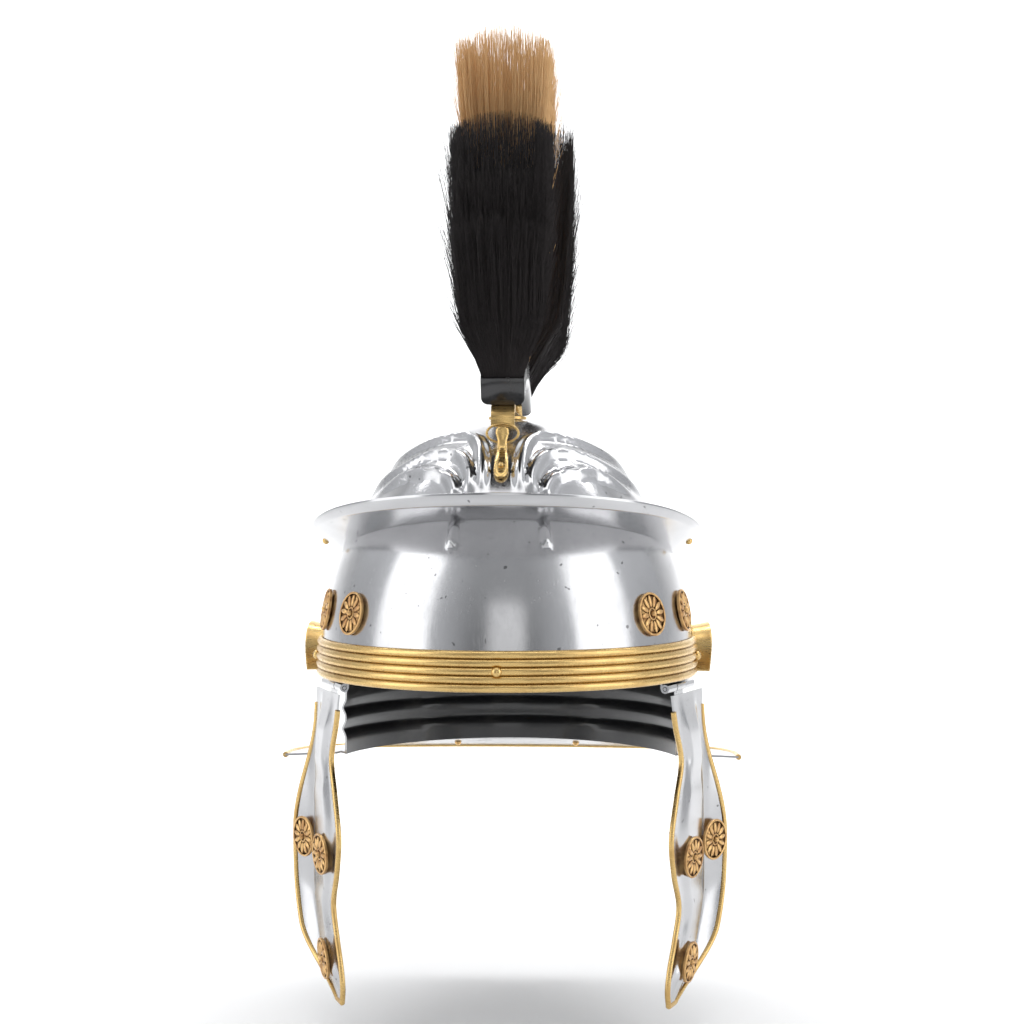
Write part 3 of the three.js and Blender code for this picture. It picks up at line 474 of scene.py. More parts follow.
def make_visor():
    columns = [visor_column(azimuth) for azimuth in np.radians(np.linspace(-VISOR_SPAN, VISOR_SPAN, 150))]
    visor = sheet("visor_plate", columns, steel_finish())
    up = sum(face.normal.z for face in visor.data.polygons)
    if up < 0:
        visor.data.flip_normals()
    wall(visor, SHEET)
    round_edges(visor, 0.25)
    return shade(visor, 40)


def round_edges(piece, width):
    bevel = piece.modifiers.new("rounding", "BEVEL")
    bevel.width = width * MM
    bevel.segments = 2
    bevel.limit_method = "ANGLE"
    bevel.angle_limit = math.radians(50)
    return bake(piece)


def make_band():
    ribs = sizes().rib_count
    rings = []
    top = RIM_Z + BAND_HEIGHT
    share = np.linspace(0, 1, ribs * 9 + 1)
    bead = np.abs(np.sin(math.pi * ribs * share)) ** 0.7
    for azimuth in np.radians(np.linspace(-85, 85, 170)):
        ring = on_wall(azimuth, top - BAND_HEIGHT * share, 1.5 + 1.35 * bead)
        back = on_wall(azimuth, np.array([RIM_Z, top]), np.array([0.7, 0.7]))
        rings.append(np.vstack([ring, back]))
    return shade(swept("brow_band_ribbed", rings, [brass_finish("band_brass", 0.0)]), 50)


def side_x(y, z):
    height = max(0, z - DOME_Z) / SEMI[2]
    return SEMI[0] * math.sqrt(1 - (y / SEMI[1]) ** 2 - height ** 2)


def ear_column(sign, angle):
    """Across the arch at one angle: the flange on the bowl, then the lip that stands out from it."""
    def at(beyond, out):
        y = EAR_MIDDLE + (EAR_HALF + beyond) * math.cos(angle)
        z = RIM_Z + 0.5 + (EAR_HEIGHT + beyond) * math.sin(angle)
        return [sign * (side_x(y, z) + out), y, z]

    lip = 13 * (0.75 + 0.25 * math.sin(angle))
    flange = [at(0.8 + 5 * (1 - k / 6), 0.7) for k in range(7)]
    return flange + [at(0.8 + 2 * (k / 10) ** 1.6, 0.7 + (lip - 0.7) * k / 10) for k in range(1, 11)]


def make_ear_guard(side):
    sign = SIDES[side]
    columns = [ear_column(sign, angle) for angle in np.linspace(0, math.pi, 60)]
    guard = sheet(f"ear_arch_{side}", columns, brass_finish("ear_brass", 0.15))
    probe = min(guard.data.polygons, key=lambda face: abs(face.center.x))
    if probe.normal.x * sign > 0:
        guard.data.flip_normals()
    wall(guard, 0.9)
    round_edges(guard, 0.2)
    return shade(guard, 40)


# Cheek guards, each in its own frame: x outward, y rearward, z up, the hinge axis along y

HINGE = np.array([95.75, -22.0, -147.7])
HINGE_TURN = math.radians(22.3)
CHEEK_LENGTH, CHEEK_WIDTH = 175.0, 66.0
CHEEK_ROWS, CHEEK_COLUMNS = 150, 56
CHEEK_OUTLINE = [
    (0.026, 0.6, -0.17), (0.125, 0.6, -0.1), (0.24, 0.64, 0.02), (0.355, 0.71, -0.12),
    (0.475, 0.76, -0.24), (0.59, 0.77, -0.165), (0.7, 0.74, -0.02), (0.8, 0.63, -0.1),
    (0.885, 0.46, -0.2), (0.95, 0.24, -0.23), (1.0, -0.04, -0.19),
]
CHEEK_LOBES = [((0.07, 0.16), (0.24, 0.33)), ((0.27, 0.37), (0.6, 0.67)), ((0.62, 0.72), (0.9, 0.98))]
CHEEK_ROSETTES = [(0.518, 0.18), (0.547, 0.66), (0.885, 0.5)]
ROSETTE_REACH = 12.5
BARREL_HALF = 43 / 6


def cheek_surface():
    """Grid of points on the outer face of a cheek guard: columns run from the rear edge to the front."""
    outline = spline(CHEEK_OUTLINE, CHEEK_ROWS)
    down, rear, front = outline[:, 0], outline[:, 1], outline[:, 2]
    across = np.linspace(0, 1, CHEEK_COLUMNS)[:, None]
    bow = np.where(
        down < 0.4,
        0.6 + 1.8 * np.sin(math.pi * np.minimum(down, 0.4) / 0.8),
        2.4 - 2.9 * (1 - np.cos(math.pi / 2 * np.clip((down - 0.4) / 0.6, 0, 1))))
    flange = smooth(0.12, 0.5, down) * (1 - smooth(0.8, 1, down))
    lift = 9 * np.clip(1 - across / 0.24, 0, 1) ** 1.8 * flange
    panel = smooth(0.2, 0.36, across) * (1 - smooth(0.7, 0.88, across))
    lobes = sum(smooth(*rise, down) * (1 - smooth(*fall, down)) for rise, fall in CHEEK_LOBES)
    emboss = panel * (1.1 + 1.6 * np.clip(lobes, 0, 1)) * smooth(0.02, 0.1, down) * (1 - smooth(0.9, 1, down))
    x = bow + lift + emboss
    y = CHEEK_WIDTH * (rear * (1 - across) + front * across)
    z = np.broadcast_to(-CHEEK_LENGTH * down, y.shape)
    return np.stack([x, y, z], axis=-1)


def cheek_to_frame(points, side):
    """From a cheek guard's own frame to the helmet's, in millimetres."""
    sign = SIDES[side]
    local = np.array(points, float)
    cos, sin = math.cos(HINGE_TURN), math.sin(HINGE_TURN)
    x = HINGE[0] + local[..., 0] * cos + local[..., 1] * sin
    y = HINGE[1] - local[..., 0] * sin + local[..., 1] * cos
    return np.stack([sign * x, y, HINGE[2] + local[..., 2]], axis=-1)


def make_cheek_plate(side):
    plate = sheet(f"cheek_sheet_{side}", cheek_to_frame(cheek_surface(), side), steel_finish())
    out = sum(face.normal.x * face.area for face in plate.data.polygons)
    if out * SIDES[side] < 0:
        plate.data.flip_normals()
    wall(plate, SHEET)
    return shade(plate, 40)


def tube_rings(path, radius, corners=10, up=(0.0, 0.0, 1.0)):
    path = np.asarray(path, float)
    rings = []
    turn = np.linspace(0, 2 * math.pi, corners, endpoint=False)[:, None]
    for centre, along in zip(path, directions(path)):
        side = np.cross(along, up)
        side /= np.linalg.norm(side)
        normal = np.cross(side, along)
        rings.append(centre + radius * (np.cos(turn) * side + np.sin(turn) * normal))
    return np.array(rings)


def make_cheek_trim(side):
    grid = cheek_surface()
    rear, front, tip = grid[0, 8:], grid[-1, 8:][::-1], grid[1:-1, -1]
    path = np.vstack([rear, tip, front])
    path[:, 0] -= SHEET / 2
    path = cheek_to_frame(path, side)
    up = np.array([SIDES[side] * math.cos(HINGE_TURN), -math.sin(HINGE_TURN), 0])
    rings = tube_rings(path, 1.55, up=up)
    return shade(swept(f"cheek_edging_{side}", rings, [brass_finish("edge_brass", 0.25)]), 60)


def cheek_normal(grid, i, j, span=10):
    """Outward direction of a cheek guard at a point of its grid, averaged over a span of points."""
    lengthwise = grid[i, min(j + span, CHEEK_ROWS - 1)] - grid[i, j - span]
    crosswise = grid[min(i + span, CHEEK_COLUMNS - 1), j] - grid[max(i - span, 0), j]
    normal = np.cross(lengthwise, crosswise)
    normal /= np.linalg.norm(normal)
    return -normal if normal[0] < 0 else normal


def cheek_stud_places(side):
    """Centre and facing of each rosette on a cheek guard: each lies on the highest point under it."""
    grid = cheek_surface()
    places = []
    for down, across in CHEEK_ROSETTES:
        j = int(np.argmin(np.abs(-grid[0, :, 2] / CHEEK_LENGTH - down)))
        i = int(round(across * (CHEEK_COLUMNS - 1)))
        normal = cheek_normal(grid, i, j)
        offsets = grid.reshape(-1, 3) - grid[i, j]
        height = offsets @ normal
        aside = np.sqrt(np.maximum(0, (offsets ** 2).sum(axis=1) - height ** 2))
        seat = grid[i, j] + normal * (max(0, height[aside < ROSETTE_REACH].max()) + 0.2)
        base = cheek_to_frame(seat, side)
        places.append((base, cheek_to_frame(seat + normal, side) - base))
    return places


# Geometry Nodes: one helper, then trees for studs, rosettes and hair

def node(tree, kind, inputs=None, **settings):
    made = tree.nodes.new(kind)
    for name, value in settings.items():
        setattr(made, name, value)
    for name, value in (inputs or {}).items():
        if isinstance(value, bpy.types.NodeSocket):
            tree.links.new(value, made.inputs[name])
        else:
            made.inputs[name].default_value = value
    return made


def math_node(tree, operation, first, second):
    return node(tree, "ShaderNodeMath", {0: first, 1: second}, operation=operation).outputs[0]


def new_tree(name, sockets):
    tree = bpy.data.node_groups.new(name, "GeometryNodeTree")
    tree.interface.new_socket("Geometry", in_out="INPUT", socket_type="NodeSocketGeometry")
    for label, kind in sockets:
        tree.interface.new_socket(label, in_out="INPUT", socket_type=f"NodeSocket{kind}")
    tree.interface.new_socket("Geometry", in_out="OUTPUT", socket_type="NodeSocketGeometry")
    return tree, tree.nodes.new("NodeGroupInput"), tree.nodes.new("NodeGroupOutput")


def apply_tree(piece, tree, values):
    modifier = piece.modifiers.new(tree.name, "NODES")
    modifier.node_group = tree
    for item in tree.interface.items_tree:
        if item.item_type == "SOCKET" and item.in_out == "INPUT" and item.name in values:
            modifier[item.identifier] = values[item.name]
    return bake(piece)


def facing_rotation(tree):
    facing = node(tree, "GeometryNodeInputNamedAttribute", {"Name": "facing"}, data_type="FLOAT_VECTOR")
    return node(tree, "FunctionNodeAlignRotationToVector", {"Vector": facing.outputs["Attribute"]},
                axis="Z").outputs["Rotation"]


def finish_tree(tree, geometry, source, target):
    realized = node(tree, "GeometryNodeRealizeInstances", {"Geometry": geometry}).outputs[0]
    smoothed = node(tree, "GeometryNodeSetShadeSmooth", {"Geometry": realized}).outputs[0]
    finished = node(tree, "GeometryNodeSetMaterial", {
        "Geometry": smoothed, "Material": source.outputs["Material"]})
    tree.links.new(finished.outputs[0], target.inputs[0])


def scaled(tree, geometry, x, y, z):
    size = node(tree, "ShaderNodeCombineXYZ", {0: x, 1: y, 2: z}).outputs[0]
    return node(tree, "GeometryNodeTransform", {"Geometry": geometry, "Scale": size}).outputs[0]


def lifted(tree, geometry, height):
    lift = node(tree, "ShaderNodeCombineXYZ", {2: height}).outputs[0]
    return node(tree, "GeometryNodeTransform", {"Geometry": geometry, "Translation": lift}).outputs[0]


def copied(tree, source, instance):
    """The instance on each point of the piece, facing along the point's own direction."""
    return node(tree, "GeometryNodeInstanceOnPoints", {
        "Points": source.outputs["Geometry"], "Instance": instance,
        "Rotation": facing_rotation(tree)}).outputs[0]


def stud_tree():
    """A domed rivet head on each point, facing along the point's own direction."""
    tree, source, target = new_tree("studs", [
        ("Radius", "Float"), ("Height", "Float"), ("Material", "Material")])
    ball = node(tree, "GeometryNodeMeshUVSphere", {"Segments": 20, "Rings": 12, "Radius": 1.0})
    radius, height = source.outputs["Radius"], source.outputs["Height"]
    head = scaled(tree, ball.outputs["Mesh"], radius, radius, height)
    finish_tree(tree, copied(tree, source, head), source, target)
    return tree


def ring_of_wire(tree, radius, wire, resolution):
    circle = node(tree, "GeometryNodeCurvePrimitiveCircle", {"Resolution": resolution, "Radius": radius})
    profile = node(tree, "GeometryNodeCurvePrimitiveCircle", {"Resolution": 8, "Radius": wire})
    return node(tree, "GeometryNodeCurveToMesh", {
        "Curve": circle.outputs[0], "Profile Curve": profile.outputs[0]}).outputs[0]


def petals_of(tree, ball, radius, height, count):
    """Petals round a circle, each a flattened ball that points outward."""
    petal = scaled(tree, ball, math_node(tree, "MULTIPLY", radius, 0.29),
                   math_node(tree, "MULTIPLY", radius, 0.125), math_node(tree, "MULTIPLY", height, 0.42))
    ring = node(tree, "GeometryNodeMeshCircle", {
        "Vertices": count, "Radius": math_node(tree, "MULTIPLY", radius, 0.58)}).outputs["Mesh"]
    spoke = node(tree, "GeometryNodeInputPosition").outputs[0]
    turn = node(tree, "FunctionNodeAlignRotationToVector", {"Vector": spoke}, axis="X").outputs["Rotation"]
    return node(tree, "GeometryNodeInstanceOnPoints", {
        "Points": ring, "Instance": petal, "Rotation": turn}).outputs[0]


def joined(tree, parts):
    whole = node(tree, "GeometryNodeJoinGeometry")
    for part in parts:
        tree.links.new(part, whole.inputs[0])
    return whole.outputs[0]


def rosette_tree():
    """A petalled boss with rims and a rivet on each point."""
    tree, source, target = new_tree("rosettes", [
        ("Radius", "Float"), ("Height", "Float"), ("Petals", "Int"), ("Material", "Material")])
    radius, height = source.outputs["Radius"], source.outputs["Height"]

    def share(value, factor):
        return math_node(tree, "MULTIPLY", value, factor)

    disc = node(tree, "GeometryNodeMeshCylinder", {
        "Vertices": 48, "Radius": share(radius, 0.97), "Depth": share(height, 0.4)}).outputs["Mesh"]
    ball = node(tree, "GeometryNodeMeshUVSphere", {"Segments": 12, "Rings": 8, "Radius": 1.0}).outputs["Mesh"]
    petals = petals_of(tree, ball, radius, height, source.outputs["Petals"])
    rims = joined(tree, [ring_of_wire(tree, share(radius, reach), share(radius, wire), 48)
                         for reach, wire in ((0.93, 0.06), (0.25, 0.05))])
    pin = scaled(tree, ball, share(radius, 0.15), share(radius, 0.15), share(height, 1.45))
    parts = [lifted(tree, disc, share(height, 0.2)), lifted(tree, petals, share(height, 0.45)),
             lifted(tree, rims, share(height, 0.45)), pin]
    finish_tree(tree, copied(tree, source, joined(tree, parts)), source, target)
    return tree


def points_object(name, places):
    piece = new_object(name, [base * MM for base, _ in places], [], [])
    facing = piece.data.attributes.new("facing", "FLOAT_VECTOR", "POINT")
    facing.data.foreach_set("vector", np.array([list(out) for _, out in places], float).ravel())
    return piece


def make_rosettes(name, places):
    piece = points_object(name, places)
    return apply_tree(piece, rosette_tree(), {
        "Radius": 11.8 * MM, "Height": 2.6 * MM, "Petals": sizes().petal_count,
        "Material": aged_brass_finish()})


def make_studs(name, places, radius, height, material):
    piece = points_object(name, places)
    return apply_tree(piece, stud_tree(), {
        "Radius": radius * MM, "Height": height * MM, "Material": material})


# Crest fittings

FAN_CENTRE = np.array([0.0, 3.0, -87.8])
HOLDER_RADIUS = 110.0
HOLDER_REACH = 31.0
HOLDER_HALF_WIDTH = 11.85
HOLDER_SHEET = 1.6
HOLDER_WALL = 16
STRAP_WIDTH = 12.9
STRAP_SHEET = 1.6
STRAP_RADIUS = HOLDER_RADIUS - GAP - STRAP_SHEET / 2
STRAP_ROOT_ANGLE = 23.25
RING_RADIUS = 8.5
RING_FLATNESS = 0.6
WIRE_RADIUS = 0.7
HOOK_THICKNESS = 1.3
HOOK_HALF_WIDTH = 3.7


def fan_point(across, angle, radius):
    """Points of the crest's fan: angle in degrees rearward of upright, radius from the fan's centre."""
    tilt = np.radians(angle)
    rearward = FAN_CENTRE[1] + radius * np.sin(tilt)
    upward = FAN_CENTRE[2] + radius * np.cos(tilt)
    return np.stack([across, rearward, upward], axis=-1)


def join(name, parts):
    """One object from several, with their materials side by side."""
    shape = bmesh.new()
    materials = []
    for part in parts:
        first = len(shape.faces)
        shape.from_mesh(part.data)
        shape.faces.ensure_lookup_table()
        for face in shape.faces[first:]:
            face.material_index += len(materials)
        materials += part.data.materials
    mesh = bpy.data.meshes.new(name)
    shape.to_mesh(mesh)
    shape.free()
    for material in materials:
        mesh.materials.append(material)
    for part in parts:
        bpy.data.meshes.remove(part.data)
    piece = bpy.data.objects.new(name, mesh)
    bpy.context.scene.collection.objects.link(piece)
    return piece


def rounded_floor(half, low, corner, steps=6):
    """Left half of a channel's section: the rounded corner from the floor up to the wall."""
    points = []
    for k in range(steps + 1):
        turn = math.pi / 2 * k / steps
        points.append((-half + corner - corner * math.sin(turn), low + corner - corner * math.cos(turn)))
    return points


def fan_sweep(name, section, start, end, steps, material):
    rings = [[fan_point(x, angle, radius) for x, radius in section]
             for angle in np.linspace(start, end, steps)]
    return swept(name, rings, [material])


def channel_outline(half, low, corner, top):
    """Outline of a trough's section, from the top of the right wall round to the top of the left."""
    left = rounded_floor(half, low, corner)
    return [(half, top)] + [(-x, z) for x, z in reversed(left)] + left + [(-half, top)]


def make_holder():
    """Gloss channel that carries the hair: a trough along an arc, with a plate across each end."""
    top = HOLDER_RADIUS + HOLDER_WALL
    outer = channel_outline(HOLDER_HALF_WIDTH, HOLDER_RADIUS, 4.0, top)
    inner = channel_outline(HOLDER_HALF_WIDTH - HOLDER_SHEET, HOLDER_RADIUS + HOLDER_SHEET, 3.0, top)
    paint = black_finish("holder_paint", 0.16)
    end = HOLDER_REACH - 0.85
    trough = fan_sweep("trough", outer + inner[::-1], -end, end, 60, paint)
    front = fan_sweep("front_plate", outer, -HOLDER_REACH, -end, 2, paint)
    rear = fan_sweep("rear_plate", outer, end, HOLDER_REACH, 2, paint)
    for plate in (front, rear):
        round_edges(plate, 0.35)
    return shade(join("crest_channel", [trough, front, rear]), 35)


def strip(name, path, width, thickness, material):
    """A flat bar along a path in the middle plane, with rounded long edges."""
    path = np.asarray(path, float)
    rings = []
    for centre, along in zip(path, directions(path)):
        normal = np.cross([1.0, 0.0, 0.0], along)
        ring = []
        for across, above in ((-1, -1), (1, -1), (1, 1), (-1, 1)):
            ring.append(centre + np.array([across * width / 2, 0, 0]) + normal * above * thickness / 2)
        rings.append(ring)
    bar = swept(name, rings, [material])
    round_edges(bar, 0.3)
    return shade(bar, 35)


def strap_end():
    end = fan_point(0, -HOLDER_REACH, HOLDER_RADIUS)
    return end + np.array([0, -3.0, -12.0])


def make_front_strap():
    end = strap_end()
    arc = [fan_point(0, angle, STRAP_RADIUS) for angle in np.linspace(-STRAP_ROOT_ANGLE, -HOLDER_REACH, 12)]
    path = spline(arc[::3] + [arc[-1], end + [0, 0, 7], end + [0, 0, 3.5], end], 40)
    return strip("front_strap", path, STRAP_WIDTH, STRAP_SHEET, brass_finish("strap_brass", 0.05))


def make_ring():
    """Wire ring that hangs from the front strap."""
    forward = np.array([0, STRAP_SHEET / 2 + GAP + WIRE_RADIUS, 0])
    centre = strap_end() - forward + np.array([0, 0, 2 - 0.3 * 18.4])
    rings = []
    for x, z in circle(1, 64):
        outward = np.array([x, 0, z])
        place = centre + RING_RADIUS * np.array([x, 0, RING_FLATNESS * z])
        rings.append([place + (out * outward + np.array([0, back, 0]))
                      for out, back in circle(WIRE_RADIUS, 12)])
    return shade(swept("wire_ring", rings, [brass_finish("ring_brass", 0.1)], closed=True), 60)


def make_front_hook():
    """Brass hook riveted to the bowl below the front strap: swollen at its foot and at its tip."""
    end = strap_end()
    standing = end[1] - STRAP_SHEET / 2 - GAP - 2 * WIRE_RADIUS - GAP - HOOK_THICKNESS - 0.8
    foot = [dome(0, math.radians(polar), GAP + HOOK_THICKNESS) for polar in (42, 37, 32)]
    path = spline([*foot, [0, standing, end[2] - 6], [0, standing - 0.5, end[2]]], 60)
    widths = np.interp(np.linspace(0, 1, 60), [0, 0.05, 0.12, 0.3, 0.5, 0.7, 0.85, 0.95, 1],
                       [0.45, 0.9, 1.1, 1, 0.72, 0.7, 1, 0.9, 0.4])
    turn = np.linspace(0, 2 * math.pi, 24, endpoint=False)[:, None]
    rings = []
    for centre, along, width in zip(path, directions(path), widths):
        normal = np.cross([1.0, 0.0, 0.0], along)
        rings.append(centre + HOOK_HALF_WIDTH * width * np.cos(turn) * np.array([1.0, 0, 0])
                     + HOOK_THICKNESS * min(1, width + 0.2) * np.sin(turn) * normal)
    return shade(swept("front_hook_smooth", rings, [brass_finish("hook_brass", 0.05)]), 60)


def make_rear_hook():
    """Strap and hook in one bar, from the holder's rear end down onto the dome."""
    arc = [fan_point(0, angle, STRAP_RADIUS) for angle in (STRAP_ROOT_ANGLE, 26, 28.5, HOLDER_REACH)]
    path = arc + [arc[-1] + np.array([0, 3, -8])]
    path += [dome(math.pi, math.radians(polar), GAP + out)
             for polar, out in ((32, 2.1), (36, 1.1), (40, 1.1))]
    bar = brass_finish("rear_strap_brass", 0.1)
    return strip("rear_strap", spline(path, 50), STRAP_WIDTH, STRAP_SHEET, bar)


def lathe(name, profile, centre, material):
    rings = [[centre + np.array([radius * x, radius * y, z]) for radius, z in profile]
             for x, y in circle(1, 48)]
    return shade(swept(name, rings, [material], closed=True), 35)


def make_post():
    base, top = SHEET + GAP, SHEET + 21 - 2 * GAP
    profile = [(0.01, base), (11, base), (11, base + 1.5), (7, base + 2.4), (4.5, base + 5), (4.5, top - 5),
               (6, top - 3), (8.5, top - 1.5), (8.5, top), (0.01, top)]
    return lathe("crest_pillar", profile, np.array([0, 3.0, 0]), brass_finish("post_brass", 0.15))


# Materials: each is built once and found again by its name

def new_material(name):
    made = bpy.data.materials.new(name)
    made.use_nodes = True
    tree = made.node_tree
    tree.nodes.clear()
    output = tree.nodes.new("ShaderNodeOutputMaterial")
    shader = tree.nodes.new("ShaderNodeBsdfPrincipled")
    tree.links.new(shader.outputs[0], output.inputs[0])
    return made, tree, shader


def once(name, build):
    return bpy.data.materials.get(name) or build(name)


def object_place(tree):
    return tree.nodes.new("ShaderNodeTexCoord").outputs["Object"]


def stretched(tree, scale):
    return node(tree, "ShaderNodeMapping", {"Vector": object_place(tree), "Scale": scale}).outputs[0]


def noise(tree, scale, detail=3.0, roughness=0.5, vector=None):
    return node(tree, "ShaderNodeTexNoise", {
        "Vector": vector or object_place(tree), "Scale": scale, "Detail": detail,
        "Roughness": roughness}).outputs[0]


def ranged(tree, value, low, high, new_low, new_high):
    return node(tree, "ShaderNodeMapRange", {
        "Value": value, "From Min": low, "From Max": high, "To Min": new_low, "To Max": new_high},
        interpolation_type="SMOOTHSTEP").outputs[0]


def mixed(tree, factor, first, second):
    """Colour between two: each is a colour value or a socket."""
    mix = tree.nodes.new("ShaderNodeMix")
    mix.data_type = "RGBA"
    for place, value in ((0, factor), (6, first), (7, second)):
        if isinstance(value, bpy.types.NodeSocket):
            tree.links.new(value, mix.inputs[place])
        elif place == 0:
            mix.inputs[0].default_value = value
        else:
            mix.inputs[place].default_value = (*value, 1.0)
    return mix.outputs[2]


def darker(colour, factor):
    return tuple(factor * channel for channel in colour)


def cavity(tree):
    """One in the recesses of the piece, zero on its ridges."""
    hidden = node(tree, "ShaderNodeAmbientOcclusion", {"Distance": 2.5 * MM}, samples=4,
                  only_local=True).outputs["AO"]
    return ranged(tree, hidden, 0.35, 0.9, 1.0, 0.0)


def add_bump(tree, shader, height, strength, distance):
    bump = node(tree, "ShaderNodeBump", {"Height": height, "Strength": strength, "Distance": distance})
    tree.links.new(bump.outputs[0], shader.inputs["Normal"])


def steel_finish():
    """Polished steel: soft hammer waves, fine scratches and faint smears, with painted shade in its recesses.
    """
    def build(name):
        made, tree, shader = new_material(name)
        shader.inputs["Metallic"].default_value = 1.0
        smear = noise(tree, 14.0, 5.0, 0.6)
        scratch = noise(tree, 900.0, 2.0, 0.7, stretched(tree, (1.0, 1.0, 0.05)))
        tint = mixed(tree, ranged(tree, smear, 0.35, 0.7, 0.0, 1.0), tuple(colours().steel),
                     darker(colours().steel, 0.86))
        # painted shade: the steel is darkened in its recesses, where shade falls
        tint = mixed(tree, cavity(tree), tint, darker(colours().steel, 0.3))
        pits = ranged(tree, noise(tree, 260.0, 1.0), 0.73, 0.78, 0.0, 0.75)
        tint = mixed(tree, pits, tint, darker(colours().steel, 0.25))
        tree.links.new(tint, shader.inputs["Base Color"])
        fog = ranged(tree, smear, 0.3, 0.75, 0.13, 0.24)
        grain = ranged(tree, scratch, 0.45, 0.75, 0.0, 0.07)
        tree.links.new(math_node(tree, "ADD", fog, grain), shader.inputs["Roughness"])
        wave = noise(tree, 22.0, 1.0)
        fine = math_node(tree, "MULTIPLY", scratch, 0.02)
        add_bump(tree, shader, math_node(tree, "ADD", wave, fine), 0.35, 0.0009)
        return made
    return once("polished_steel", build)


def brass_finish(name, tarnish):
    """Satin brass, with tarnish in its recesses and in drifting patches."""
    def build(title):
        made, tree, shader = new_material(title)
        shader.inputs["Metallic"].default_value = 1.0
        patches = ranged(tree, noise(tree, 60.0, 4.0, 0.6), 0.45, 0.72, 0.0, 0.35 + tarnish)
        tint = mixed(tree, patches, tuple(colours().brass), (0.50, 0.29, 0.10))
        tint = mixed(tree, cavity(tree), tint, darker(colours().aged_brass, 0.3))
        tree.links.new(tint, shader.inputs["Base Color"])
        scratch = noise(tree, 1400.0, 2.0, 0.7, stretched(tree, (0.15, 0.15, 1.0)))
        rough = math_node(tree, "MULTIPLY_ADD", patches, 0.2)
        tree.links.new(ranged(tree, scratch, 0.3, 0.7, 0.2, 0.32), rough.node.inputs[2])
        tree.links.new(rough, shader.inputs["Roughness"])
        add_bump(tree, shader, scratch, 0.12, 0.0001)
        return made
    return once(name, build)


def aged_brass_finish():
    """Brass of the rosettes: brown in its recesses, worn bright on its ridges."""
    def build(name):
        made, tree, shader = new_material(name)
        shader.inputs["Metallic"].default_value = 1.0
        patches = ranged(tree, noise(tree, 180.0, 4.0, 0.6), 0.4, 0.7, 0.0, 0.8)
        tint = mixed(tree, patches, tuple(colours().aged_brass), (0.40, 0.20, 0.09))
        tint = mixed(tree, cavity(tree), tint, (0.06, 0.028, 0.014))
        tree.links.new(tint, shader.inputs["Base Color"])
        tree.links.new(ranged(tree, patches, 0.0, 0.8, 0.3, 0.5), shader.inputs["Roughness"])
        add_bump(tree, shader, noise(tree, 900.0, 3.0), 0.25, 0.0002)
        return made
    return once("rosette_brass", build)


def black_finish(name, roughness):
    """Black enamel with dust and faint waves."""
    def build(title):
        made, tree, shader = new_material(title)
        shader.inputs["Coat Weight"].default_value = 0.6
        shader.inputs["Coat Roughness"].default_value = 0.08
        dust = ranged(tree, noise(tree, 40.0, 5.0, 0.65), 0.45, 0.8, 0.0, 1.0)
        tint = mixed(tree, dust, tuple(colours().black_paint), (0.03, 0.028, 0.026))
        tree.links.new(tint, shader.inputs["Base Color"])
        tree.links.new(ranged(tree, dust, 0.0, 1.0, roughness, roughness + 0.2), shader.inputs["Roughness"])
        add_bump(tree, shader, noise(tree, 220.0, 2.0), 0.1, 0.0003)
        return made
    return once(name, build)


def hair_finish(name, colour, edge):
    """Hair: a shade of its own for each strand, paler or browner toward its tip."""
    def build(title):
        made, tree, shader = new_material(title)
        shade_of = node(tree, "ShaderNodeAttribute", attribute_name="strand_shade").outputs["Fac"]
        along = node(tree, "ShaderNodeAttribute", attribute_name="strand_share").outputs["Fac"]
        # a strand_shade of nought gives the darkest tone; the core has no strand_shade, so on it this tone is
        # painted shade
        dark = mixed(tree, shade_of, darker(colour, 0.42), colour)
        tip = ranged(tree, math_node(tree, "ADD", along, math_node(tree, "MULTIPLY", shade_of, 0.25)),
                     0.55, 1.1, 0.0, 0.85)
        tint = mixed(tree, tip, dark, edge)
        drift = ranged(tree, noise(tree, 120.0, 2.0), 0.35, 0.7, 0.0, 0.4)
        tint = mixed(tree, drift, tint, darker(colour, 0.5))
        tree.links.new(tint, shader.inputs["Base Color"])
        tree.links.new(ranged(tree, shade_of, 0.0, 1.0, 0.32, 0.5), shader.inputs["Roughness"])
        shader.inputs["Specular IOR Level"].default_value = 0.4
        add_bump(tree, shader, noise(tree, 2500.0, 1.0), 0.2, 0.0001)
        return made
    return once(name, build)


# Hair: a dense core and strands that spray out along the fan

PLUMES = {
    "front": {"span": (-29.8, -11.1), "radius": 260.0, "lean": 0.0, "seed": 11},
    "middle": {"span": (-10.9, 10.9), "radius": 306.0, "lean": 0.0, "seed": 12},
    "rear": {"span": (11.1, 29.8), "radius": 282.0, "lean": 10.0, "seed": 13},
}
HAIR_ROOT = 113
SHORTEST_REACH = 134
FLANK_SHARE = 0.36
END_SHARE = 0.45
SHORT_SHARE = 0.3
STRAY_SHARE = 0.06
FRIZZ = 4.5


def plume_finish(name):
    if name == "middle":
        return hair_finish("natural_hair", tuple(colours().natural_hair), (0.90, 0.74, 0.50))
    return hair_finish("black_hair", tuple(colours().black_hair), (0.075, 0.042, 0.024))


def hair_length(angle, radius):
    shortening = smooth(19.4, 29.8, np.abs(angle))
    return radius * (1 - 0.16 * shortening)


def hair_width(name, radius):
    """Half the width of the hair at a distance from the fan's centre: narrow in the channel, then full."""
    if name == "middle":
        return 9.0 + 8.0 * smooth(118, 160, radius) + 8.0 * smooth(200, 285, radius)
    return 9.0 + 13.0 * smooth(118, 160, radius) + 4.0 * smooth(160, 250, radius)


def plume_lean(plume, radius):
    """How far a part of the crest leans to one side, once it is clear of the channel."""
    return plume["lean"] * smooth(126, 156, radius)


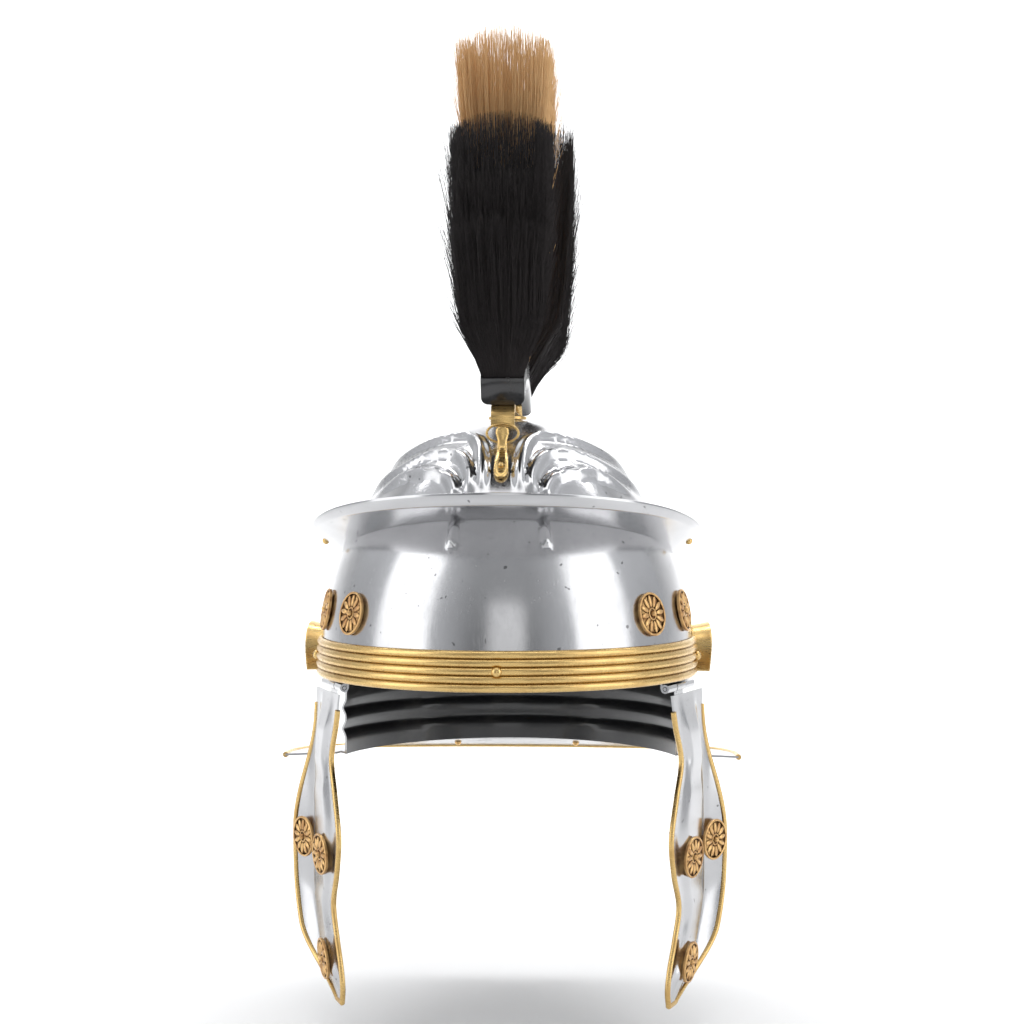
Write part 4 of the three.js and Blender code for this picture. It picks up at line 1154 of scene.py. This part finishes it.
def strand_places(name, rng, count):
    """Where each strand stands: its place along the part and across it, more of them on the outside."""
    place = rng.uniform(0, 1, count)
    side = rng.uniform(-1, 1, count)
    layer = rng.uniform(0, 1, count)
    flank = layer < FLANK_SHARE
    side[flank] = np.sign(side[flank]) * (1 - 0.3 * rng.random(flank.sum()) ** 1.6)
    end = layer > 1 - END_SHARE
    near_end = rng.random(end.sum()) ** 2.4
    place[end] = near_end if name == "front" else 1 - near_end
    if name == "middle":
        place[end] = np.where(rng.random(end.sum()) < 0.5, near_end, 1 - near_end)
    return place, side


def strand_reach(rng, full, side):
    """Radius at which each strand ends, and which strands are short ones."""
    count = len(full)
    reach = full * (1 - 0.045 * rng.random(count) ** 1.5 - 0.03 * side ** 2)
    short = rng.random(count) < SHORT_SHARE
    reach[short] = SHORTEST_REACH + (full[short] - SHORTEST_REACH) * rng.uniform(0.3, 0.95, short.sum())
    return reach, short


def strand_flare(rng, side, short):
    """How far each strand spreads sideways at its tip, and a few strays further."""
    count = len(side)
    flare = side * rng.uniform(-1.0, 1.5, count) + rng.normal(0, 1.0, count)
    flare[short] += side[short] * rng.uniform(0, 8.0, short.sum())
    stray = rng.random(count) < STRAY_SHARE
    flare[stray] += rng.normal(0, 4.5, stray.sum())
    return flare


def strand_paths(name, count, steps=6):
    """Places along each strand of one part of the crest, and the shade of each strand."""
    plume = PLUMES[name]
    rng = np.random.default_rng(plume["seed"])
    low, high = plume["span"]
    place, side = strand_places(name, rng, count)
    angle = low + (high - low) * place
    reach, short = strand_reach(rng, hair_length(angle, plume["radius"]), side)
    sway = rng.normal(0, 0.8, count)
    flare = strand_flare(rng, side, short)
    splay = 0.1 * (angle - (low + high) / 2) + rng.normal(0, 0.7, count)
    root = rng.uniform(HAIR_ROOT, 124, count)
    paths = []
    for share in np.linspace(0, 1, steps):
        radius = root + (reach - root) * share
        wave = sway * np.sin(3.1 * share + 6.28 * place)
        across = (side * hair_width(name, radius) + plume_lean(plume, radius)
                  + wave * smooth(126, 170, radius) + flare * share ** 3)
        paths.append(fan_point(across, angle + splay * share ** 2, radius))
    clump = np.sin(side * 17 + plume["seed"]) * np.sin(place * 23) * 0.25
    tone = (0.55 + clump + rng.normal(0, 0.22, count)).clip(0, 1)
    return np.stack(paths, axis=1), tone


def hair_tree():
    """Tapered hairs along the edges of the piece, each ruffled a little more toward its tip."""
    tree, source, target = new_tree("strands", [
        ("Radius", "Float"), ("Frizz", "Float"), ("Seed", "Float"), ("Material", "Material")])
    along = node(tree, "GeometryNodeInputNamedAttribute", {"Name": "strand_share"}, data_type="FLOAT")
    along = along.outputs["Attribute"]
    ruffle = node(tree, "ShaderNodeTexNoise", {
        "Vector": node(tree, "GeometryNodeInputPosition").outputs[0], "W": source.outputs["Seed"],
        "Scale": 90.0, "Detail": 1.0}, noise_dimensions="4D")
    centred = node(tree, "ShaderNodeVectorMath", {0: ruffle.outputs["Color"], 1: (0.5, 0.5, 0.5)},
                   operation="SUBTRACT").outputs[0]
    amount = math_node(tree, "MULTIPLY", along, source.outputs["Frizz"])
    offset = node(tree, "ShaderNodeVectorMath", {0: centred, "Scale": amount}, operation="SCALE").outputs[0]
    ruffled = node(tree, "GeometryNodeSetPosition", {
        "Geometry": source.outputs["Geometry"], "Offset": offset})
    curves = node(tree, "GeometryNodeMeshToCurve", {"Mesh": ruffled.outputs[0]}).outputs[0]
    taper = math_node(tree, "SUBTRACT", 1.0, math_node(tree, "MULTIPLY", along, 0.72))
    profile = node(tree, "GeometryNodeCurvePrimitiveCircle", {
        "Resolution": 3, "Radius": source.outputs["Radius"]})
    tubes = node(tree, "GeometryNodeCurveToMesh", {
        "Curve": curves, "Profile Curve": profile.outputs[0], "Scale": taper, "Fill Caps": True})
    finish_tree(tree, tubes.outputs[0], source, target)
    return tree


def make_strands(name):
    count = sizes().strands
    paths, tone = strand_paths(name, count)
    steps = paths.shape[1]
    first = np.repeat(np.arange(count) * steps, steps - 1) + np.tile(np.arange(steps - 1), count)
    edges = np.stack([first, first + 1], axis=1).tolist()
    piece = new_object(f"hair_{name}", paths.reshape(-1, 3) * MM, [], [], edges)
    share = piece.data.attributes.new("strand_share", "FLOAT", "POINT")
    share.data.foreach_set("value", np.tile(np.linspace(0, 1, steps), count))
    shade_of = piece.data.attributes.new("strand_shade", "FLOAT", "POINT")
    shade_of.data.foreach_set("value", np.repeat(tone, steps))
    return apply_tree(piece, hair_tree(), {
        "Radius": sizes().hair_radius, "Frizz": FRIZZ * MM, "Seed": float(PLUMES[name]["seed"]),
        "Material": plume_finish(name)})


def make_core(name):
    """The dense hair under the strands: closed, and grooved along its length. It has no strand attributes, so
    it takes the darkest hair tone, as painted shade between the strands.
    """
    plume = PLUMES[name]
    low, high = plume["span"]
    rings = []
    for angle in np.linspace(low + 0.6, high - 0.6, 40):
        top = hair_length(angle, plume["radius"]) * 0.88
        radii = np.concatenate([[HAIR_ROOT], np.linspace(122, top - 8, 22), [top]])
        half = hair_width(name, radii) * 0.84 * np.where(radii == top, 0.8, 1.0)
        half = half * (1 + 0.03 * np.sin(radii * 0.35 + angle * 2))
        across = np.concatenate([half, -half[::-1]])
        radius = np.concatenate([radii, radii[::-1]])
        rings.append(fan_point(across + plume_lean(plume, radius), angle, radius))
    # painted shade: the core shows in the darkest hair tone, standing in for the shade between the strands
    return shade(swept(f"hair_core_{name}", rings, [plume_finish(name)]), 50)


# Neck guard edge, rivets and the cheek hinges' barrels

def make_neck_trim():
    turns = np.linspace(-1, 1, 90)
    path = np.array([neck_edge(turn) for turn in turns])
    path[:, 2] -= SHEET / 2
    rings = tube_rings(path, 1.7, corners=12)
    return shade(swept("neck_edging", rings, [brass_finish("edge_brass", 0.25)]), 60)


def bowl_rosette_places():
    polar = math.acos((-105 - DOME_Z) / SEMI[2])
    places = []
    for sign in (-1, 1):
        for angle in (50, 72):
            azimuth = sign * math.radians(angle)
            places.append((dome(azimuth, polar, GAP), dome_normal(azimuth, polar)))
    return places


def band_stud_places():
    places = []
    for angle in (0, -82, 82):
        azimuth = math.radians(angle)
        base = on_wall(azimuth, np.array([RIM_Z + BAND_HEIGHT / 2]), np.array([2.9]))[0]
        outward = outward_at(azimuth)
        places.append((base, outward))
    return places


def visor_stud_places():
    places = []
    for sign in (-1, 1):
        azimuth = sign * math.radians(85)
        width, rise, _ = visor_shape(azimuth)
        seat = visor_seat(azimuth, GAP + SHEET * math.sin(rise))
        outward = outward_at(azimuth)
        along = outward * math.cos(rise) + np.array([0, 0, math.sin(rise)])
        down = outward * math.sin(rise) - np.array([0, 0, math.cos(rise)])
        places.append((seat + along * 0.55 * width / math.cos(rise) + down * (SHEET + 0.3), down))
    return places


def neck_stud_places():
    places = []
    for sign in (-1, 1):
        azimuth = math.pi - sign * math.radians(16)
        around = neck_point(azimuth + 0.1, 0.5) - neck_point(azimuth - 0.1, 0.5)
        across = neck_point(azimuth, 0.6) - neck_point(azimuth, 0.4)
        down = np.cross(around, across)
        down /= np.linalg.norm(down)
        if down[2] > 0:
            down = -down
        places.append((neck_point(azimuth, 0.5) + down * (SHEET + 0.3), down))
    return places


def hook_stud_places():
    polar = math.radians(38.5)
    return [(dome(0.0, polar, 2 * GAP + 2.6), dome_normal(0.0, polar))]


def bar_along_hinge(name, side, section, ys):
    """A bar with the given section in a cheek guard's own frame, along its hinge."""
    rings = [cheek_to_frame([[x, y, z] for x, z in section], side) for y in ys]
    return swept(name, rings, [steel_finish()])


def make_cheek_barrel(side):
    """The cheek guard's share of the hinge: a barrel, with a tongue down to the plate."""
    section = circle(1.0 + GAP + 1.2, 28)
    barrel = bar_along_hinge(f"barrel_{side}", side, section, (-BARREL_HALF, 0, BARREL_HALF))
    inner = cheek_surface()[36, 0, 0] - 0.36
    corners = [(0.2, -6.6), (inner, -6.6), (inner, 0.0), (0.2, 0.0)]
    tongue = bar_along_hinge(f"tongue_{side}", side, corners, (-BARREL_HALF, BARREL_HALF))
    return shade(join(f"cheek_barrel_{side}", [barrel, tongue]), 35)


# Finishes for the hinge leaves and pins, whose shapes are right as they come

def dress(name, material):
    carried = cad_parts[name]
    carried.data.materials.clear()
    carried.data.materials.append(material)


# Floor, light and camera

FLOOR_Z = -0.345
FLOOR_FRONT = -1.6
CURVE_START = 1.7
CURVE_RADIUS = 0.8
BACKDROP_HALF_WIDTH = 3.4
BACKDROP_HEIGHT = 3.2
SOFTBOXES = (
    ("left_softbox", (-1.2, -0.5, 0.15), (0, 0, -0.05), 0.9, 1.6, 6.5),
    ("right_softbox", (1.2, -0.5, 0.15), (0, 0, -0.05), 0.9, 1.6, 6.5),
    ("top_softbox", (0, -0.3, 1.3), (0, 0, 0), 1.4, 0.9, 6),
    ("front_fill", (0.15, -2.4, 0.2), (0, 0, -0.05), 1.0, 1.6, 4),
    ("backdrop_light", (0, 0.9, 1.6), (0, 2.4, 0.2), 2.6, 0.8, 60),
)
CAMERA_DISTANCE = 1.0
CAMERA_ASIDE = 0.0026
CAMERA_HEIGHT = -0.0512
CAMERA_FORWARD = Vector((-0.042, 0.99912, 0.0))
CAMERA_RIGHT = Vector((0.99912, 0.042, 0.0))
SENSOR_WIDTH = 36
FOCAL_LENGTH = 61.7


def make_stage():
    profile = [(FLOOR_FRONT, 0.0), (CURVE_START, 0.0)]
    for turn in np.linspace(0, math.pi / 2, 17)[1:]:
        profile.append((CURVE_START + CURVE_RADIUS * math.sin(turn),
                        CURVE_RADIUS - CURVE_RADIUS * math.cos(turn)))
    profile.append((CURVE_START + CURVE_RADIUS, BACKDROP_HEIGHT))
    vertices = []
    for y, z in profile:
        vertices += [(-BACKDROP_HALF_WIDTH, y, FLOOR_Z + z), (BACKDROP_HALF_WIDTH, y, FLOOR_Z + z)]
    faces = [(2 * k, 2 * k + 1, 2 * k + 3, 2 * k + 2) for k in range(len(profile) - 1)]
    made, tree, shader = new_material("pale_paper")
    paper = mixed(tree, noise(tree, 3.0), (0.86, 0.86, 0.86), (0.89, 0.89, 0.89))
    tree.links.new(paper, shader.inputs["Base Color"])
    tree.links.new(ranged(tree, noise(tree, 200.0), 0.3, 0.7, 0.8, 0.95), shader.inputs["Roughness"])
    backdrop = shade(new_object("backdrop", vertices, faces, [made]), 60)


def add_softbox(name, place, target, width, height, power):
    lamp = bpy.data.lights.new(name, "AREA")
    lamp.shape = "RECTANGLE"
    lamp.size = width
    lamp.size_y = height
    lamp.energy = power
    softbox = bpy.data.objects.new(name, lamp)
    softbox.location = place
    softbox.rotation_euler = (Vector(target) - Vector(place)).to_track_quat("-Z", "Y").to_euler()
    bpy.context.scene.collection.objects.link(softbox)


def add_world():
    """Soft glow all round: stronger from the sides and from overhead than from the front."""
    world = bpy.data.worlds.new("studio")
    world.use_nodes = True
    tree = world.node_tree
    place = tree.nodes.new("ShaderNodeTexCoord").outputs["Generated"]
    direction = node(tree, "ShaderNodeSeparateXYZ", {0: place})
    sideways = math_node(tree, "ABSOLUTE", direction.outputs[0], 0.0)
    glow = ranged(tree, sideways, 0.25, 0.75, 0.27, 0.66)
    overhead = ranged(tree, direction.outputs[2], 0.1, 0.7, 0.0, 0.25)
    strength = math_node(tree, "ADD", glow, overhead)
    background = tree.nodes["Background"]
    background.inputs["Color"].default_value = (0.95, 0.97, 1.0, 1.0)
    tree.links.new(strength, background.inputs["Strength"])
    bpy.context.scene.world = world
    bpy.context.scene.view_settings.view_transform = "Standard"


def add_camera():
    lens = bpy.data.cameras.new("camera")
    lens.sensor_width = SENSOR_WIDTH
    lens.lens = FOCAL_LENGTH
    camera = bpy.data.objects.new("camera", lens)
    camera.location = (-CAMERA_DISTANCE * CAMERA_FORWARD + CAMERA_ASIDE * CAMERA_RIGHT
                       + Vector((0, 0, CAMERA_HEIGHT)))
    camera.rotation_euler = CAMERA_FORWARD.to_track_quat("-Z", "Y").to_euler()
    bpy.context.scene.collection.objects.link(camera)
    bpy.context.scene.camera = camera


# Operators: one for each piece or group of pieces, in the order of the panel

class HELMET_OT_bowl(bpy.types.Operator):
    """Build the bowl with its brows, nape and neck guard"""
    bl_idname = "helmet.bowl"
    bl_label = "Bowl"

    def execute(self, context):
        settle(make_bowl(), "helmet", ["bowl"])
        return {"FINISHED"}


class HELMET_OT_neck_trim(bpy.types.Operator):
    """Build the brass edge of the neck guard"""
    bl_idname = "helmet.neck_trim"
    bl_label = "Neck guard edge"

    def execute(self, context):
        settle(make_neck_trim(), "helmet", ["neck_guard_trim"])
        return {"FINISHED"}


class HELMET_OT_visor(bpy.types.Operator):
    """Build the visor"""
    bl_idname = "helmet.visor"
    bl_label = "Visor"

    def execute(self, context):
        settle(make_visor(), "helmet", ["visor"])
        return {"FINISHED"}


class HELMET_OT_band(bpy.types.Operator):
    """Build the ribbed brow band"""
    bl_idname = "helmet.band"
    bl_label = "Brow band"

    def execute(self, context):
        settle(make_band(), "helmet", ["brow_band"])
        return {"FINISHED"}


class HELMET_OT_ear_guards(bpy.types.Operator):
    """Build the arches over the ear openings"""
    bl_idname = "helmet.ear_guards"
    bl_label = "Ear guards"

    def execute(self, context):
        for side in SIDES:
            settle(make_ear_guard(side), "helmet", [f"ear_guard_{side}"])
        return {"FINISHED"}


class HELMET_OT_cheek_guards(bpy.types.Operator):
    """Build the cheek guards with their hinge barrels and brass edges"""
    bl_idname = "helmet.cheek_guards"
    bl_label = "Cheek guards"

    def execute(self, context):
        for side in SIDES:
            body = f"cheek_{side}"
            settle(make_cheek_plate(side), body, [f"cheek_plate_{side}"])
            settle(make_cheek_barrel(side), body, [f"cheek_plate_{side}"])
            settle(make_cheek_trim(side), body, [f"cheek_trim_{side}"])
        return {"FINISHED"}


class HELMET_OT_rosettes(bpy.types.Operator):
    """Build the petalled rosettes with their rivets"""
    bl_idname = "helmet.rosettes"
    bl_label = "Rosettes"

    def execute(self, context):
        names = [f"bowl_rosette_{side}_{row}" for side in SIDES for row in ("front", "side")]
        names += [f"{name}_rivet" for name in names]
        settle(make_rosettes("bowl_rosettes", bowl_rosette_places()), "helmet", names)
        for side in SIDES:
            names = [f"cheek_rosette_{side}_{row}" for row in ("rear", "middle", "lower")]
            names += [f"{name}_rivet" for name in names]
            rosettes = make_rosettes(f"cheek_rosettes_{side}", cheek_stud_places(side))
            settle(rosettes, f"cheek_{side}", names)
        return {"FINISHED"}


class HELMET_OT_rivets(bpy.types.Operator):
    """Build the rivets of the band, the visor, the neck guard and the front hook"""
    bl_idname = "helmet.rivets"
    bl_label = "Rivets"

    def execute(self, context):
        band = make_studs("band_rivets", band_stud_places(), 2.6, 2.0, brass_finish("stud_brass", 0.1))
        settle(band, "helmet", [f"band_rivet_{side}" for side in ("centre", "left", "right")])
        visor = make_studs("visor_rivets", visor_stud_places(), 2.1, 2.0, brass_finish("stud_brass", 0.1))
        settle(visor, "helmet", [f"visor_rivet_{side}" for side in SIDES])
        neck = make_studs("neck_rivets", neck_stud_places(), 2.1, 2.0, aged_brass_finish())
        settle(neck, "helmet", [f"neck_rivet_{side}" for side in SIDES])
        hook = make_studs("hook_rivet", hook_stud_places(), 1.5, 1.4, brass_finish("stud_brass", 0.1))
        settle(hook, "helmet", ["front_hook_rivet"])
        return {"FINISHED"}


class HELMET_OT_crest_fittings(bpy.types.Operator):
    """Build the crest's holder, post, straps, ring and hooks"""
    bl_idname = "helmet.crest_fittings"
    bl_label = "Crest fittings"

    def execute(self, context):
        settle(make_holder(), "helmet", ["crest_holder"])
        settle(make_post(), "helmet", ["crest_post"])
        settle(make_front_strap(), "helmet", ["crest_strap"])
        settle(make_ring(), "helmet", ["crest_ring"])
        settle(make_front_hook(), "helmet", ["front_hook"])
        settle(make_rear_hook(), "helmet", ["rear_hook"])
        return {"FINISHED"}


class HELMET_OT_hair(bpy.types.Operator):
    """Build the crest's hair: a dense core and loose strands in each of its three parts"""
    bl_idname = "helmet.hair"
    bl_label = "Crest hair"

    def execute(self, context):
        for name in PLUMES:
            settle(make_core(name), "helmet", [f"plume_{name}"])
            settle(make_strands(name), "helmet", [f"plume_{name}"])
        return {"FINISHED"}


class HELMET_OT_hinges(bpy.types.Operator):
    """Give the hinge leaves and pins their finish"""
    bl_idname = "helmet.hinges"
    bl_label = "Hinges"

    def execute(self, context):
        for side in SIDES:
            dress(f"hinge_leaf_{side}", steel_finish())
            dress(f"hinge_pin_{side}", steel_finish())
        return {"FINISHED"}


class HELMET_OT_stage(bpy.types.Operator):
    """Set up the backdrop, the lights and the camera"""
    bl_idname = "helmet.stage"
    bl_label = "Stage"

    def execute(self, context):
        make_stage()
        for softbox in SOFTBOXES:
            add_softbox(*softbox)
        add_world()
        add_camera()
        return {"FINISHED"}


STEPS = (
    HELMET_OT_bowl,
    HELMET_OT_neck_trim,
    HELMET_OT_visor,
    HELMET_OT_band,
    HELMET_OT_ear_guards,
    HELMET_OT_cheek_guards,
    HELMET_OT_rosettes,
    HELMET_OT_rivets,
    HELMET_OT_crest_fittings,
    HELMET_OT_hair,
    HELMET_OT_hinges,
    HELMET_OT_stage,
)


class HELMET_PT_panel(bpy.types.Panel):
    """Sizes, colours and build steps of the helmet"""
    bl_idname = "HELMET_PT_panel"
    bl_label = "Helmet"
    bl_space_type = "VIEW_3D"
    bl_region_type = "UI"
    bl_category = "Helmet"

    def draw(self, context):
        for settings in (sizes(), colours()):
            for name in settings.bl_rna.properties.keys():
                if name not in ("rna_type", "name"):
                    self.layout.prop(settings, name)
        for step in STEPS:
            self.layout.operator(step.bl_idname)


CLASSES = (HelmetSizes, HelmetColours, *STEPS, HELMET_PT_panel)


def register():
    for registered in CLASSES:
        bpy.utils.register_class(registered)
    bpy.types.Scene.helmet_sizes = PointerProperty(type=HelmetSizes)
    bpy.types.Scene.helmet_colours = PointerProperty(type=HelmetColours)


def unregister():
    del bpy.types.Scene.helmet_colours
    del bpy.types.Scene.helmet_sizes
    for registered in reversed(CLASSES):
        bpy.utils.unregister_class(registered)


def main():
    register()
    for step in STEPS:
        group, name = step.bl_idname.split(".")
        getattr(getattr(bpy.ops, group), name)()


if __name__ == "__main__":
    main()
